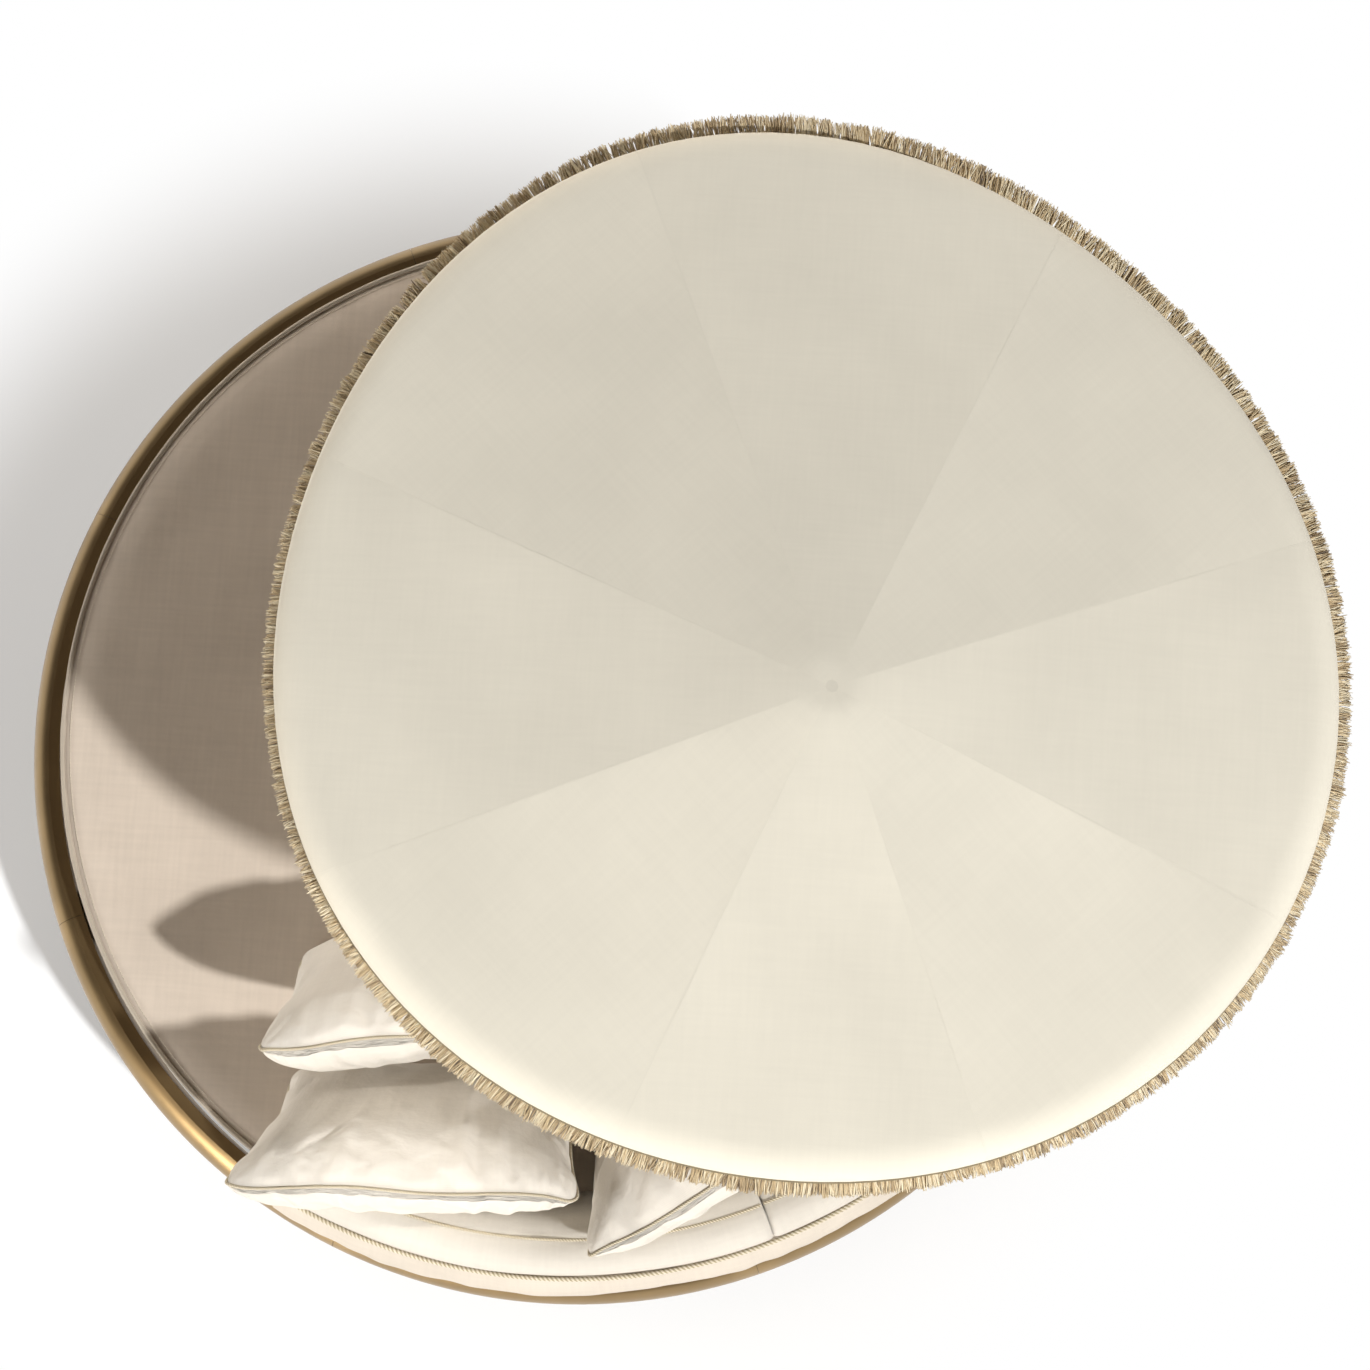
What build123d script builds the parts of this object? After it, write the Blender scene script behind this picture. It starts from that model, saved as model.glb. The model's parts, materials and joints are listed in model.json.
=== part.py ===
from build123d import *
from math import atan2, cos, degrees, hypot, radians, sin, sqrt, tan
import os

os.makedirs("parts", exist_ok=True)

# Round outdoor daybed with a metal ring, a curved backrest and a tilting canopy on one bent mast.
# Origin on the floor under the centre of the ring, +Z up, +X towards the head and the mast.
# All sizes in millimetres, all bearings in degrees about +Z from +X.

# Ring
ring_radius = 1100.0
ring_depth = 60.0
ring_height = 120.0
ring_wall = 3.0
ring_bow = 18.0
ring_shoulder = 38.0
ring_middle = 285.0
ring_count = 8
ring_seam = 0.8
joiner_length = 130.0
joiner_wall = 4.0

# Fits shared by all pieces
seat_gap = 0.3
pin_clearance = 0.05
cut_overrun = 2.0

# Frames under the deck
beam_width = 60.0
beam_height = 40.0
beam_wall = 2.5
beam_top = 256.0
end_plate_width = 100.0
end_plate_thickness = 6.0
end_plate_top = 325.0
leg_radius = 24.0
leg_wall = 2.5
leg_reach = 860.0
glide_height = 12.0
glide_rim = 2.0
glide_plug = 22.0
hub_apothem = 150.0
hub_wall = 8.0
flange_width = 112.0
foot_radius = 80.0
foot_thickness = 8.0
foot_stem_radius = 25.0
foot_flange_radius = 60.0

# Deck
deck_thickness = 14.0
deck_clearance = 22.0
deck_gap = 4.0
deck_panels = 4
drain_radius = 14.0
drain_rings = 4
deck_screw_radius = 3.0
deck_screw_head_radius = 6.0
deck_screw_head_height = 3.5
deck_screw_offset = 17.0
deck_screw_tail = 12.0
deck_screw_rows = 3

# Bolts of the frame
bolt_radius = 4.0
bolt_hole_radius = 4.4
bolt_head_radius = 7.0
bolt_head_height = 4.0
bolt_tail = 8.0
ring_bolt_offset = 40.0
ring_bolt_height = 246.0
hub_bolt_offset = 43.0

# Mattress
mattress_clearance = 21.0
mattress_thickness = 172.0
mattress_crown = 14.0
mattress_side_pull = 9.0
mattress_edge_radius = 6.0
mattress_flat_share = 0.86
mattress_crown_share = 0.28
piping_radius = 5.0

# Backrest and back cushions
back_start = -118.5
back_end = 95.0
back_foot_height = 352.0
back_inner_height = 448.0
back_top = 655.0
back_clearance = 21.0
back_bulge_depth = 65.0
back_foot_depth = 41.0
back_top_depth = 30.0
back_end_wall = 12.0
board_setback = 21.0
board_thickness = 12.0
board_top = 620.0
bracket_width = 60.0
bracket_thickness = 8.0
bracket_bottom = 236.0
bracket_top = 600.0
bracket_count = 5
back_piping_radius = 5.0
back_piping_rise = 35.0
back_cushions = 4
back_cushion_rise = 61.0
cushion_top_depth = 36.0
cushion_foot_depth = 135.0
back_cushion_gap = 7.0
cushion_lift = 1.2
cushion_bulge_share = 0.32
cushion_end_radius = 12.0

# Scatter pillows
pillow_length = 655.0
pillow_depth = 490.0
pillow_thickness = 176.0
pillow_draw = 30.0
pillow_tuck = 45.0

# Mast
mast_radius = 35.0
mast_wall = 3.0
mast_offset = 42.0
mast_bend = 330.0
mast_slope = 12.0
mast_stop = 104.0
sleeve_wall = 6.0
sleeve_top = 344.0
sleeve_foot_radius = 62.0
arm_width = 110.0
arm_thickness = 10.0
arm_overlap = 6.0
mast_bolt_radius = 6.0
mast_bolt_hole_radius = 6.6
mast_bolt_head_radius = 10.0
mast_bolt_head_height = 7.0
mast_bolt_spread = 36.0
mast_bolt_tail = 9.0

# Tilt joint
ear_thickness = 12.0
ear_height = 54.0
eye_thickness = 24.0
eye_radius = 26.0
eye_gap = 0.4
pin_radius = 8.0
pin_head_radius = 13.0
pin_head_height = 5.0
plug_length = 60.0
collar_length = 16.0
lever_length = 120.0
lever_width = 20.0
lever_thickness = 11.0
lever_boss_radius = 17.0

# Canopy
canopy_radius = 900.0
canopy_hub_x = 465.0
canopy_hub_y = -70.0
canopy_top = 1700.0
canopy_rim = 1550.0
fabric_thickness = 3.0
roll_inset = 62.0
roll_shoulder_inset = 18.0
roll_shoulder_drop = 17.0
roll_edge_inset = 4.0
roll_edge_drop = 35.0
roll_side_drop = 57.0
roll_hem_drop = 71.0
roll_hem_inset = 2.0
hub_cap_share = 0.05
gore_middle_share = 0.55
gore_flat_share = 0.945
gore_edge_share = 0.985
rib_radius = 10.0
rib_socket_radius = 12.0
rib_socket_height = 22.0
hoop_radius = 9.0
hoop_trim = 12.6
hoop_clearance = 1.2
socket_clearance = 3.2
hub_plate_radius = 80.0
hub_plate_thickness = 6.0
hub_base_thickness = 8.0
hub_drop = 12.0
tang_thickness = 10.0
tang_width = 20.0
tang_inner = 34.0
tang_outer = 94.0
rib_overlap = 9.0
stem_radius = 18.0
stem_length = 62.0
lug_height = 34.0
hub_screw_radius = 3.0
hub_screw_hole_radius = 3.2
hub_screw_reach = 60.0
hub_screw_head_radius = 5.5
hub_screw_head_height = 3.0

# Distance from the hub to the rim, as shares of the canopy radius, first rib at half a ring step
rib_reach_share = (0.966, 1.022, 1.140, 1.078, 1.011, 0.908, 0.896, 0.939)
gore_reach_share = (0.979, 1.097, 1.119, 1.047, 0.958, 0.888, 0.917, 0.956)

# Fringe
fringe_strands = 55
fringe_length = 34.0
fringe_width = 7.0
fringe_thickness = 3.0
fringe_droop = 26.0
fringe_swing = 4.0
fringe_swing_turn = 137.5
tape_thickness = 4.0
tape_height = 13.0

# Worked out sizes
ring_step = 360 / ring_count
ring_low = ring_middle - ring_height / 2
ring_high = ring_middle + ring_height / 2
ring_inner = ring_radius - ring_depth
deck_radius = ring_inner - deck_clearance
mattress_radius = ring_inner - mattress_clearance
back_inner_radius = ring_inner - back_clearance
back_bulge = back_inner_radius + back_bulge_depth
back_shoulder = back_inner_radius + back_foot_depth
back_top_shoulder = back_inner_radius + back_top_depth
board_inner_radius = back_inner_radius + board_setback
back_cushion_top = back_top + back_cushion_rise
back_cushion_seam = back_inner_radius - cushion_top_depth
back_cushion_foot = back_inner_radius - cushion_foot_depth
mast_reach = ring_radius + mast_offset
arm_reach = ring_inner + arm_overlap
beam_bottom = beam_top - beam_height
beam_middle = beam_top - beam_height / 2
deck_top = beam_top + deck_thickness
mattress_edge = deck_top + mattress_thickness - mattress_crown
mattress_top = deck_top + mattress_thickness
mattress_seat = mattress_top + seat_gap
end_plate_face = sqrt((ring_inner - seat_gap) ** 2 - (end_plate_width / 2) ** 2)
mast_bearing = degrees(atan2(canopy_hub_y, canopy_hub_x))
hub_reach = hypot(canopy_hub_x, canopy_hub_y)
hub_plate_top = canopy_top - fabric_thickness - hub_drop
tang_top = hub_plate_top - hub_plate_thickness
tang_bottom = tang_top - tang_thickness
hub_base_bottom = tang_bottom - hub_base_thickness
pivot_height = hub_base_bottom - stem_length
hoop_inset = fabric_thickness + hoop_clearance + hoop_radius
hoop_height = canopy_rim - roll_side_drop
socket_inset = fabric_thickness + socket_clearance + rib_socket_radius


def upright(bearing):
    """Vertical plane through the centre line: local x runs outwards on the bearing, local y is up."""
    turn = radians(bearing)
    return Plane(origin=(0, 0, 0), x_dir=(cos(turn), sin(turn), 0), z_dir=(sin(turn), -cos(turn), 0))


def facing(bearing, reach):
    """Vertical plane square to the bearing at a distance from the centre: local y is up, z outwards."""
    turn = radians(bearing)
    return Plane(
        origin=(reach * cos(turn), reach * sin(turn), 0),
        x_dir=(-sin(turn), cos(turn), 0),
        z_dir=(cos(turn), sin(turn), 0),
    )


def joint_bearing(number):
    """Bearing of a ring joint, numbered from 0."""
    return ring_step / 2 + ring_step * number


def band_face(bearing, inset, bow, shoulder):
    """Section of the ring band, drawn in from its outer faces by an inset."""
    outermost = (ring_radius - inset, ring_middle)
    with BuildSketch(upright(bearing)) as face:
        with BuildLine():
            Polyline(
                (ring_radius - bow - inset, ring_low + inset),
                (ring_inner + inset, ring_low + inset),
                (ring_inner + inset, ring_high - inset),
                (ring_radius - shoulder - inset, ring_high - inset),
            )
            TangentArc(outermost, (ring_radius - shoulder - inset, ring_high - inset), tangent=(0, 1))
            TangentArc(outermost, (ring_radius - bow - inset, ring_low + inset), tangent=(0, -1))
        make_face()
    return face.sketch


# Ring segments, each a hollow curved band with two bolt holes at either end
seam_angle = degrees(ring_seam / ring_radius)
for number in range(ring_count):
    start = joint_bearing(number) + seam_angle / 2
    with BuildPart() as ring_segment:
        add(band_face(start, 0, ring_bow, ring_shoulder))
        revolve(axis=Axis.Z, revolution_arc=ring_step - seam_angle)
        add(band_face(start, ring_wall, ring_bow, ring_shoulder))
        revolve(axis=Axis.Z, revolution_arc=ring_step - seam_angle, mode=Mode.SUBTRACT)
        for joint, side in ((number, 1), (number + 1, -1)):
            with BuildSketch(facing(joint_bearing(joint), ring_inner - cut_overrun)):
                with Locations((side * ring_bolt_offset, ring_bolt_height)):
                    Circle(bolt_hole_radius)
            extrude(amount=ring_wall + 2 * cut_overrun, mode=Mode.SUBTRACT)
        middle = joint_bearing(number) + ring_step / 2
        if back_start < middle - 360 < back_end or back_start < middle < back_end:
            with BuildSketch(facing(middle, ring_inner - cut_overrun)):
                with Locations((0, ring_bolt_height + bolt_head_radius)):
                    Circle(bolt_hole_radius)
            extrude(amount=ring_wall + 2 * cut_overrun, mode=Mode.SUBTRACT)
        if number == ring_count - 1:
            with BuildSketch(Plane.XY.offset(ring_low - cut_overrun)):
                with Locations(Plane.XY.rotated((0, 0, mast_bearing))):
                    with Locations(((arm_reach + ring_radius - ring_bow) / 2, 0)):
                        with GridLocations(0, 2 * mast_bolt_spread, 1, 2):
                            Circle(mast_bolt_hole_radius)
            extrude(amount=ring_wall + 2 * cut_overrun, mode=Mode.SUBTRACT)
    label = f"ring_segment_{number + 1}"
    ring_segment.part.label = label
    export_step(ring_segment.part, f"parts/{label}.step")

# Joiners slide into the ends of two neighbouring segments
joiner_inset = ring_wall + seat_gap
joiner_angle = degrees(joiner_length / ring_radius)
with BuildPart() as ring_joiners:
    for number in range(ring_count):
        bearing = joint_bearing(number)
        start = bearing - joiner_angle / 2
        add(band_face(start, joiner_inset, ring_bow, ring_shoulder))
        revolve(axis=Axis.Z, revolution_arc=joiner_angle)
        add(band_face(start, joiner_inset + joiner_wall, ring_bow, ring_shoulder))
        revolve(axis=Axis.Z, revolution_arc=joiner_angle, mode=Mode.SUBTRACT)
        with BuildSketch(facing(bearing, ring_inner)):
            with Locations((0, ring_bolt_height)):
                with GridLocations(2 * ring_bolt_offset, 0, 2, 1):
                    Circle(bolt_hole_radius)
        extrude(amount=joiner_inset + joiner_wall + cut_overrun, mode=Mode.SUBTRACT)
ring_joiners.part.label = "ring_joiners"
export_step(ring_joiners.part, "parts/ring_joiners.step")

# Radial frames: box beam, end plate at the ring, flange at the hub and a welded leg
flange_face = hub_apothem
beam_start = flange_face + end_plate_thickness
beam_end = end_plate_face - end_plate_thickness
screw_pitch = (deck_radius - hub_apothem) / (deck_screw_rows + 1)
screw_reaches = [hub_apothem + screw_pitch * (row + 1) for row in range(deck_screw_rows)]
for number in range(ring_count):
    bearing = joint_bearing(number)
    turn = radians(bearing)
    with BuildPart() as radial_frame:
        with BuildSketch(facing(bearing, beam_start)):
            with Locations((0, beam_middle)):
                Rectangle(beam_width, beam_height)
                Rectangle(beam_width - 2 * beam_wall, beam_height - 2 * beam_wall, mode=Mode.SUBTRACT)
        extrude(amount=beam_end - beam_start)
        with BuildSketch(facing(bearing, beam_end)):
            with Locations((0, (end_plate_top + beam_bottom) / 2)):
                Rectangle(end_plate_width, end_plate_top - beam_bottom)
            with Locations((0, ring_bolt_height)):
                with GridLocations(2 * ring_bolt_offset, 0, 2, 1):
                    Circle(bolt_hole_radius, mode=Mode.SUBTRACT)
        extrude(amount=end_plate_thickness)
        with BuildSketch(facing(bearing, flange_face)):
            with Locations((0, beam_middle)):
                Rectangle(flange_width, beam_height)
                with GridLocations(2 * hub_bolt_offset, 0, 2, 1):
                    Circle(bolt_hole_radius, mode=Mode.SUBTRACT)
        extrude(amount=end_plate_thickness)
        with BuildSketch(Plane.XY.offset(glide_height)):
            with Locations((leg_reach * cos(turn), leg_reach * sin(turn))):
                Circle(leg_radius)
                Circle(leg_radius - leg_wall, mode=Mode.SUBTRACT)
        extrude(amount=beam_bottom - glide_height)
        with BuildSketch(Plane.XY.offset(beam_top)):
            with Locations(Plane.XY.rotated((0, 0, bearing))):
                for reach in screw_reaches:
                    with Locations((reach, deck_screw_offset), (reach, -deck_screw_offset)):
                        Circle(deck_screw_radius + seat_gap)
        extrude(amount=-beam_wall - cut_overrun, mode=Mode.SUBTRACT)
    label = f"radial_frame_{number + 1}"
    radial_frame.part.label = label
    export_step(radial_frame.part, f"parts/{label}.step")

# Glides plug into the legs and stand on the floor
with BuildPart() as leg_glides:
    for number in range(ring_count):
        turn = radians(joint_bearing(number))
        spot = (leg_reach * cos(turn), leg_reach * sin(turn))
        with BuildSketch(Plane.XY):
            with Locations(spot):
                Circle(leg_radius + glide_rim)
        extrude(amount=glide_height)
        with BuildSketch(Plane.XY.offset(glide_height)):
            with Locations(spot):
                Circle(leg_radius - leg_wall - seat_gap)
        extrude(amount=glide_plug)
leg_glides.part.label = "leg_glides"
export_step(leg_glides.part, "parts/leg_glides.step")

# Centre hub: an eight-sided open tray that the frames bolt to
with BuildPart() as centre_hub:
    with BuildSketch(Plane.XY.offset(beam_bottom)):
        RegularPolygon(hub_apothem, ring_count, major_radius=False)
    extrude(amount=beam_height)
    with BuildSketch(Plane.XY.offset(beam_bottom + hub_wall)):
        RegularPolygon(hub_apothem - hub_wall, ring_count, major_radius=False)
    extrude(amount=beam_height, mode=Mode.SUBTRACT)
    for number in range(ring_count):
        with BuildSketch(facing(joint_bearing(number), hub_apothem + cut_overrun)):
            with Locations((0, beam_middle)):
                with GridLocations(2 * hub_bolt_offset, 0, 2, 1):
                    Circle(bolt_hole_radius)
        extrude(amount=-hub_wall - 2 * cut_overrun, mode=Mode.SUBTRACT)
centre_hub.part.label = "centre_hub"
export_step(centre_hub.part, "parts/centre_hub.step")

# Centre foot: the flat pad at the origin that carries the hub
with BuildPart() as centre_foot:
    with BuildSketch(Plane.XY):
        Circle(foot_radius)
    extrude(amount=foot_thickness)
    with BuildSketch(Plane.XY):
        Circle(foot_stem_radius)
    extrude(amount=beam_bottom)
    with BuildSketch(Plane.XY.offset(beam_bottom)):
        Circle(foot_flange_radius)
    extrude(amount=-foot_thickness)
centre_foot.part.label = "centre_foot"
export_step(centre_foot.part, "parts/centre_foot.step")

# Deck panels: quarter boards with drain holes and counterbored screw holes
panel_angle = 360 / deck_panels
joints_per_panel = ring_count // deck_panels
for number in range(deck_panels):
    start = joint_bearing(number * joints_per_panel)
    middle = start + panel_angle / 2
    with BuildPart() as deck_panel:
        with BuildSketch(upright(start)):
            with Locations((deck_radius / 2, beam_top + deck_thickness / 2)):
                Rectangle(deck_radius, deck_thickness)
        revolve(axis=Axis.Z, revolution_arc=panel_angle)
        for edge, side in ((start, 1), (start + panel_angle, -1)):
            with BuildSketch(Plane.XY.offset(beam_top).rotated((0, 0, edge))):
                with Locations((deck_radius / 2, side * deck_gap / 4)):
                    Rectangle(deck_radius + 2 * cut_overrun, deck_gap / 2)
            extrude(amount=deck_thickness, mode=Mode.SUBTRACT)
            spots = [(reach, side * deck_screw_offset) for reach in screw_reaches]
            with BuildSketch(Plane.XY.offset(beam_top).rotated((0, 0, edge))):
                with Locations(*spots):
                    Circle(deck_screw_radius + seat_gap)
            extrude(amount=deck_thickness, mode=Mode.SUBTRACT)
            with BuildSketch(Plane.XY.offset(deck_top).rotated((0, 0, edge))):
                with Locations(*spots):
                    Circle(deck_screw_head_radius + seat_gap)
            extrude(amount=-deck_screw_head_height - seat_gap, mode=Mode.SUBTRACT)
        with BuildSketch(Plane.XY.offset(beam_top)):
            for row in range(drain_rings):
                reach = deck_radius * (row + 1) / (drain_rings + 1)
                with PolarLocations(reach, row + 1, middle - panel_angle / 4, panel_angle / 4):
                    Circle(drain_radius)
                with PolarLocations(reach, row + 1, middle + panel_angle / 12, panel_angle / 4):
                    Circle(drain_radius)
        extrude(amount=deck_thickness, mode=Mode.SUBTRACT)
    label = f"deck_panel_{number + 1}"
    deck_panel.part.label = label
    export_step(deck_panel.part, f"parts/{label}.step")

# Deck screws, two rows over each beam that carries a panel edge
with BuildPart() as deck_screws:
    for number in range(deck_panels):
        edge = joint_bearing(number * joints_per_panel)
        spots = [(reach, side * deck_screw_offset) for reach in screw_reaches for side in (1, -1)]
        with BuildSketch(Plane.XY.offset(deck_top - seat_gap).rotated((0, 0, edge))):
            with Locations(*spots):
                Circle(deck_screw_head_radius)
        extrude(amount=-deck_screw_head_height)
        with BuildSketch(Plane.XY.offset(deck_top - seat_gap).rotated((0, 0, edge))):
            with Locations(*spots):
                Circle(deck_screw_radius)
        extrude(amount=-deck_thickness - deck_screw_tail)
deck_screws.part.label = "deck_screws"
export_step(deck_screws.part, "parts/deck_screws.step")


def bolt_row(bearing, face, spots, length, inward):
    """Bolts along a bearing: heads on the face, shanks through it by a length."""
    way = -1 if inward else 1
    with BuildPart() as bolts:
        with BuildSketch(facing(bearing, face - way * seat_gap)):
            with Locations(*spots):
                RegularPolygon(bolt_head_radius, 6)
        extrude(amount=-way * bolt_head_height)
        with BuildSketch(facing(bearing, face - way * seat_gap)):
            with Locations(*spots):
                Circle(bolt_radius)
        extrude(amount=way * length)
    return bolts.part


# Frame bolts: two at each ring joint, two at each hub face, one through each backrest bracket
bracket_face = sqrt((ring_inner - seat_gap) ** 2 - (bracket_width / 2) ** 2) - bracket_thickness
bracket_bearings = [ring_step * (number - bracket_count // 2) for number in range(bracket_count)]
joint_grip = end_plate_thickness + ring_wall + joiner_wall + bolt_tail
with BuildPart() as frame_bolts:
    for number in range(ring_count):
        bearing = joint_bearing(number)
        outer_spots = [(side * ring_bolt_offset, ring_bolt_height) for side in (1, -1)]
        inner_spots = [(side * hub_bolt_offset, beam_middle) for side in (1, -1)]
        add(bolt_row(bearing, beam_end, outer_spots, joint_grip, False))
        add(bolt_row(bearing, beam_start, inner_spots, end_plate_thickness + hub_wall + bolt_tail, True))
    for bearing in bracket_bearings:
        spots = [(0, ring_bolt_height + bolt_head_radius)]
        add(bolt_row(bearing, bracket_face, spots, bracket_thickness + ring_wall + bolt_tail, False))
frame_bolts.part.label = "frame_bolts"
export_step(frame_bolts.part, "parts/frame_bolts.step")

# Mattress: a round crowned pad with its border drawn in between the two corded edges
mattress_low = deck_top + mattress_edge_radius
mattress_high = mattress_edge - mattress_edge_radius
with BuildPart() as mattress:
    with BuildSketch(Plane.XZ):
        with BuildLine():
            Polyline(
                (mattress_radius - mattress_edge_radius, deck_top),
                (0, deck_top),
                (0, mattress_top),
                (mattress_radius * mattress_flat_share, mattress_top),
            )
            ThreePointArc(
                (mattress_radius * mattress_flat_share, mattress_top),
                (
                    mattress_radius * (1 + mattress_flat_share) / 2,
                    mattress_top - mattress_crown * mattress_crown_share,
                ),
                (mattress_radius - mattress_edge_radius, mattress_edge),
            )
            Line(
                (mattress_radius - mattress_edge_radius, mattress_edge),
                (mattress_radius, mattress_high),
            )
            ThreePointArc(
                (mattress_radius, mattress_high),
                (mattress_radius - mattress_side_pull, (mattress_low + mattress_high) / 2),
                (mattress_radius, mattress_low),
            )
            Line(
                (mattress_radius, mattress_low),
                (mattress_radius - mattress_edge_radius, deck_top),
            )
        make_face()
    revolve(axis=Axis.Z)
mattress.part.label = "mattress"
export_step(mattress.part, "parts/mattress.step")

# Corded edges of the mattress, seated in the chamfers of its border
corner_reach = mattress_radius - mattress_edge_radius / 2 + (piping_radius + seat_gap) / sqrt(2)
with BuildPart() as mattress_piping:
    with BuildSketch(Plane.XZ):
        with Locations(
            (corner_reach, mattress_edge - mattress_edge_radius / 2 + (piping_radius + seat_gap) / sqrt(2)),
            (mattress_radius + piping_radius + seat_gap, mattress_low),
        ):
            Circle(piping_radius)
    revolve(axis=Axis.Z)
mattress_piping.part.label = "mattress_piping"
export_step(mattress_piping.part, "parts/mattress_piping.step")

# Backrest: brackets on the ring, a curved board and an upholstered cover over both
with BuildPart() as backrest_brackets:
    for bearing in bracket_bearings:
        with BuildSketch(facing(bearing, bracket_face)):
            with Locations((0, (bracket_top + bracket_bottom) / 2)):
                Rectangle(bracket_width, bracket_top - bracket_bottom)
            with Locations((0, ring_bolt_height + bolt_head_radius)):
                Circle(bolt_hole_radius, mode=Mode.SUBTRACT)
        extrude(amount=bracket_thickness)
backrest_brackets.part.label = "backrest_brackets"
export_step(backrest_brackets.part, "parts/backrest_brackets.step")

back_arc = back_end - back_start
end_wall_angle = degrees(back_end_wall / board_inner_radius)
board_gap_angle = end_wall_angle + degrees(seat_gap / board_inner_radius)
with BuildPart() as backrest_board:
    with BuildSketch(upright(back_start + board_gap_angle)):
        with Locations((board_inner_radius + board_thickness / 2, (board_top + back_foot_height) / 2)):
            Rectangle(board_thickness, board_top - back_foot_height)
    revolve(axis=Axis.Z, revolution_arc=back_arc - 2 * board_gap_angle)
backrest_board.part.label = "backrest_board"
export_step(backrest_board.part, "parts/backrest_board.step")

cavity_inner = bracket_face - seat_gap
cavity_outer = board_inner_radius + board_thickness + seat_gap
cavity_top = board_top + seat_gap
back_top_middle = (back_top_shoulder + back_inner_radius) / 2
back_shoulder_height = back_top - back_piping_radius
with BuildPart() as backrest_cover:
    with BuildSketch(upright(back_start)):
        with BuildLine():
            Polyline(
                (back_inner_radius, back_shoulder_height),
                (back_inner_radius, back_inner_height),
                (cavity_inner - back_end_wall / 2, back_inner_height),
                (cavity_outer, back_foot_height),
                (back_shoulder, back_foot_height),
            )
            ThreePointArc(
                (back_shoulder, back_foot_height),
                (back_bulge, (back_foot_height + back_top) / 2),
                (back_top_shoulder, back_shoulder_height),
            )
            ThreePointArc(
                (back_top_shoulder, back_shoulder_height),
                (back_top_middle, back_top),
                (back_inner_radius, back_shoulder_height),
            )
        make_face()
    revolve(axis=Axis.Z, revolution_arc=back_arc)
    with BuildSketch(upright(back_start + end_wall_angle)):
        cavity_middle = (cavity_top + back_foot_height - cut_overrun) / 2
        with Locations(((cavity_inner + cavity_outer) / 2, cavity_middle)):
            Rectangle(cavity_outer - cavity_inner, cavity_top - back_foot_height + cut_overrun)
    revolve(axis=Axis.Z, revolution_arc=back_arc - 2 * end_wall_angle, mode=Mode.SUBTRACT)
backrest_cover.part.label = "backrest_cover"
export_step(backrest_cover.part, "parts/backrest_cover.step")

# Rope edge along the outer shoulder of the cover
rope_reach = back_top_shoulder + (back_piping_radius + seat_gap) * cos(radians(back_piping_rise))
rope_height = back_shoulder_height + (back_piping_radius + seat_gap) * sin(radians(back_piping_rise))
with BuildPart() as backrest_piping:
    with BuildSketch(upright(back_start)):
        with Locations((rope_reach, rope_height)):
            Circle(back_piping_radius)
    revolve(axis=Axis.Z, revolution_arc=back_arc)
backrest_piping.part.label = "backrest_piping"
export_step(backrest_piping.part, "parts/backrest_piping.step")

# Back cushions: curved crowned pads that lean on the backrest and roll over its top
cushion_outer = back_inner_radius - 2 * seat_gap
cushion_clear = back_top + cushion_lift
cushion_gap_angle = degrees(back_cushion_gap / back_inner_radius)
cushion_arc = back_arc / back_cushions - cushion_gap_angle


def back_cushion_face(bearing, margin):
    """Section of a back cushion, grown by a margin on its front and top."""
    seam = (back_cushion_seam - margin, back_cushion_top + margin)
    foot = (back_cushion_foot - margin, mattress_seat - margin)
    bulge = (
        foot[0] + (seam[0] - foot[0]) * cushion_bulge_share,
        (foot[1] + seam[1]) / 2,
    )
    rim = (back_top_shoulder, cushion_clear + 2 * back_piping_radius)
    with BuildSketch(upright(bearing)) as face:
        with BuildLine():
            Polyline(foot, (cushion_outer, foot[1]), (cushion_outer, cushion_clear))
            ThreePointArc(
                (cushion_outer, cushion_clear),
                ((cushion_outer + rim[0]) / 2, cushion_clear + back_piping_radius / 2),
                rim,
            )
            ThreePointArc(rim, ((rim[0] + seam[0]) / 2, seam[1] + back_piping_radius / 2), seam)
            ThreePointArc(seam, bulge, foot)
        make_face()
    return face.sketch


for number in range(back_cushions):
    start = back_start + cushion_gap_angle / 2 + number * back_arc / back_cushions
    with BuildPart() as back_cushion:
        add(back_cushion_face(start, 0))
        revolve(axis=Axis.Z, revolution_arc=cushion_arc)
        ends = back_cushion.faces().filter_by(GeomType.PLANE).sort_by(Axis.Z)[1:]
        fillet(ends.edges(), cushion_end_radius)
    label = f"back_cushion_{number + 1}"
    back_cushion.part.label = label
    export_step(back_cushion.part, f"parts/{label}.step")

# Scatter pillows: pointed corners, drawn-in sides and a crown on both faces
pillow_levels_share = (0, 0.42, 0.72, 0.92, 1.0)
corner_share = (1.0, 0.92, 0.80, 0.60, 0.30)
side_share = (1.0, 0.96, 0.86, 0.67, 0.35)


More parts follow.
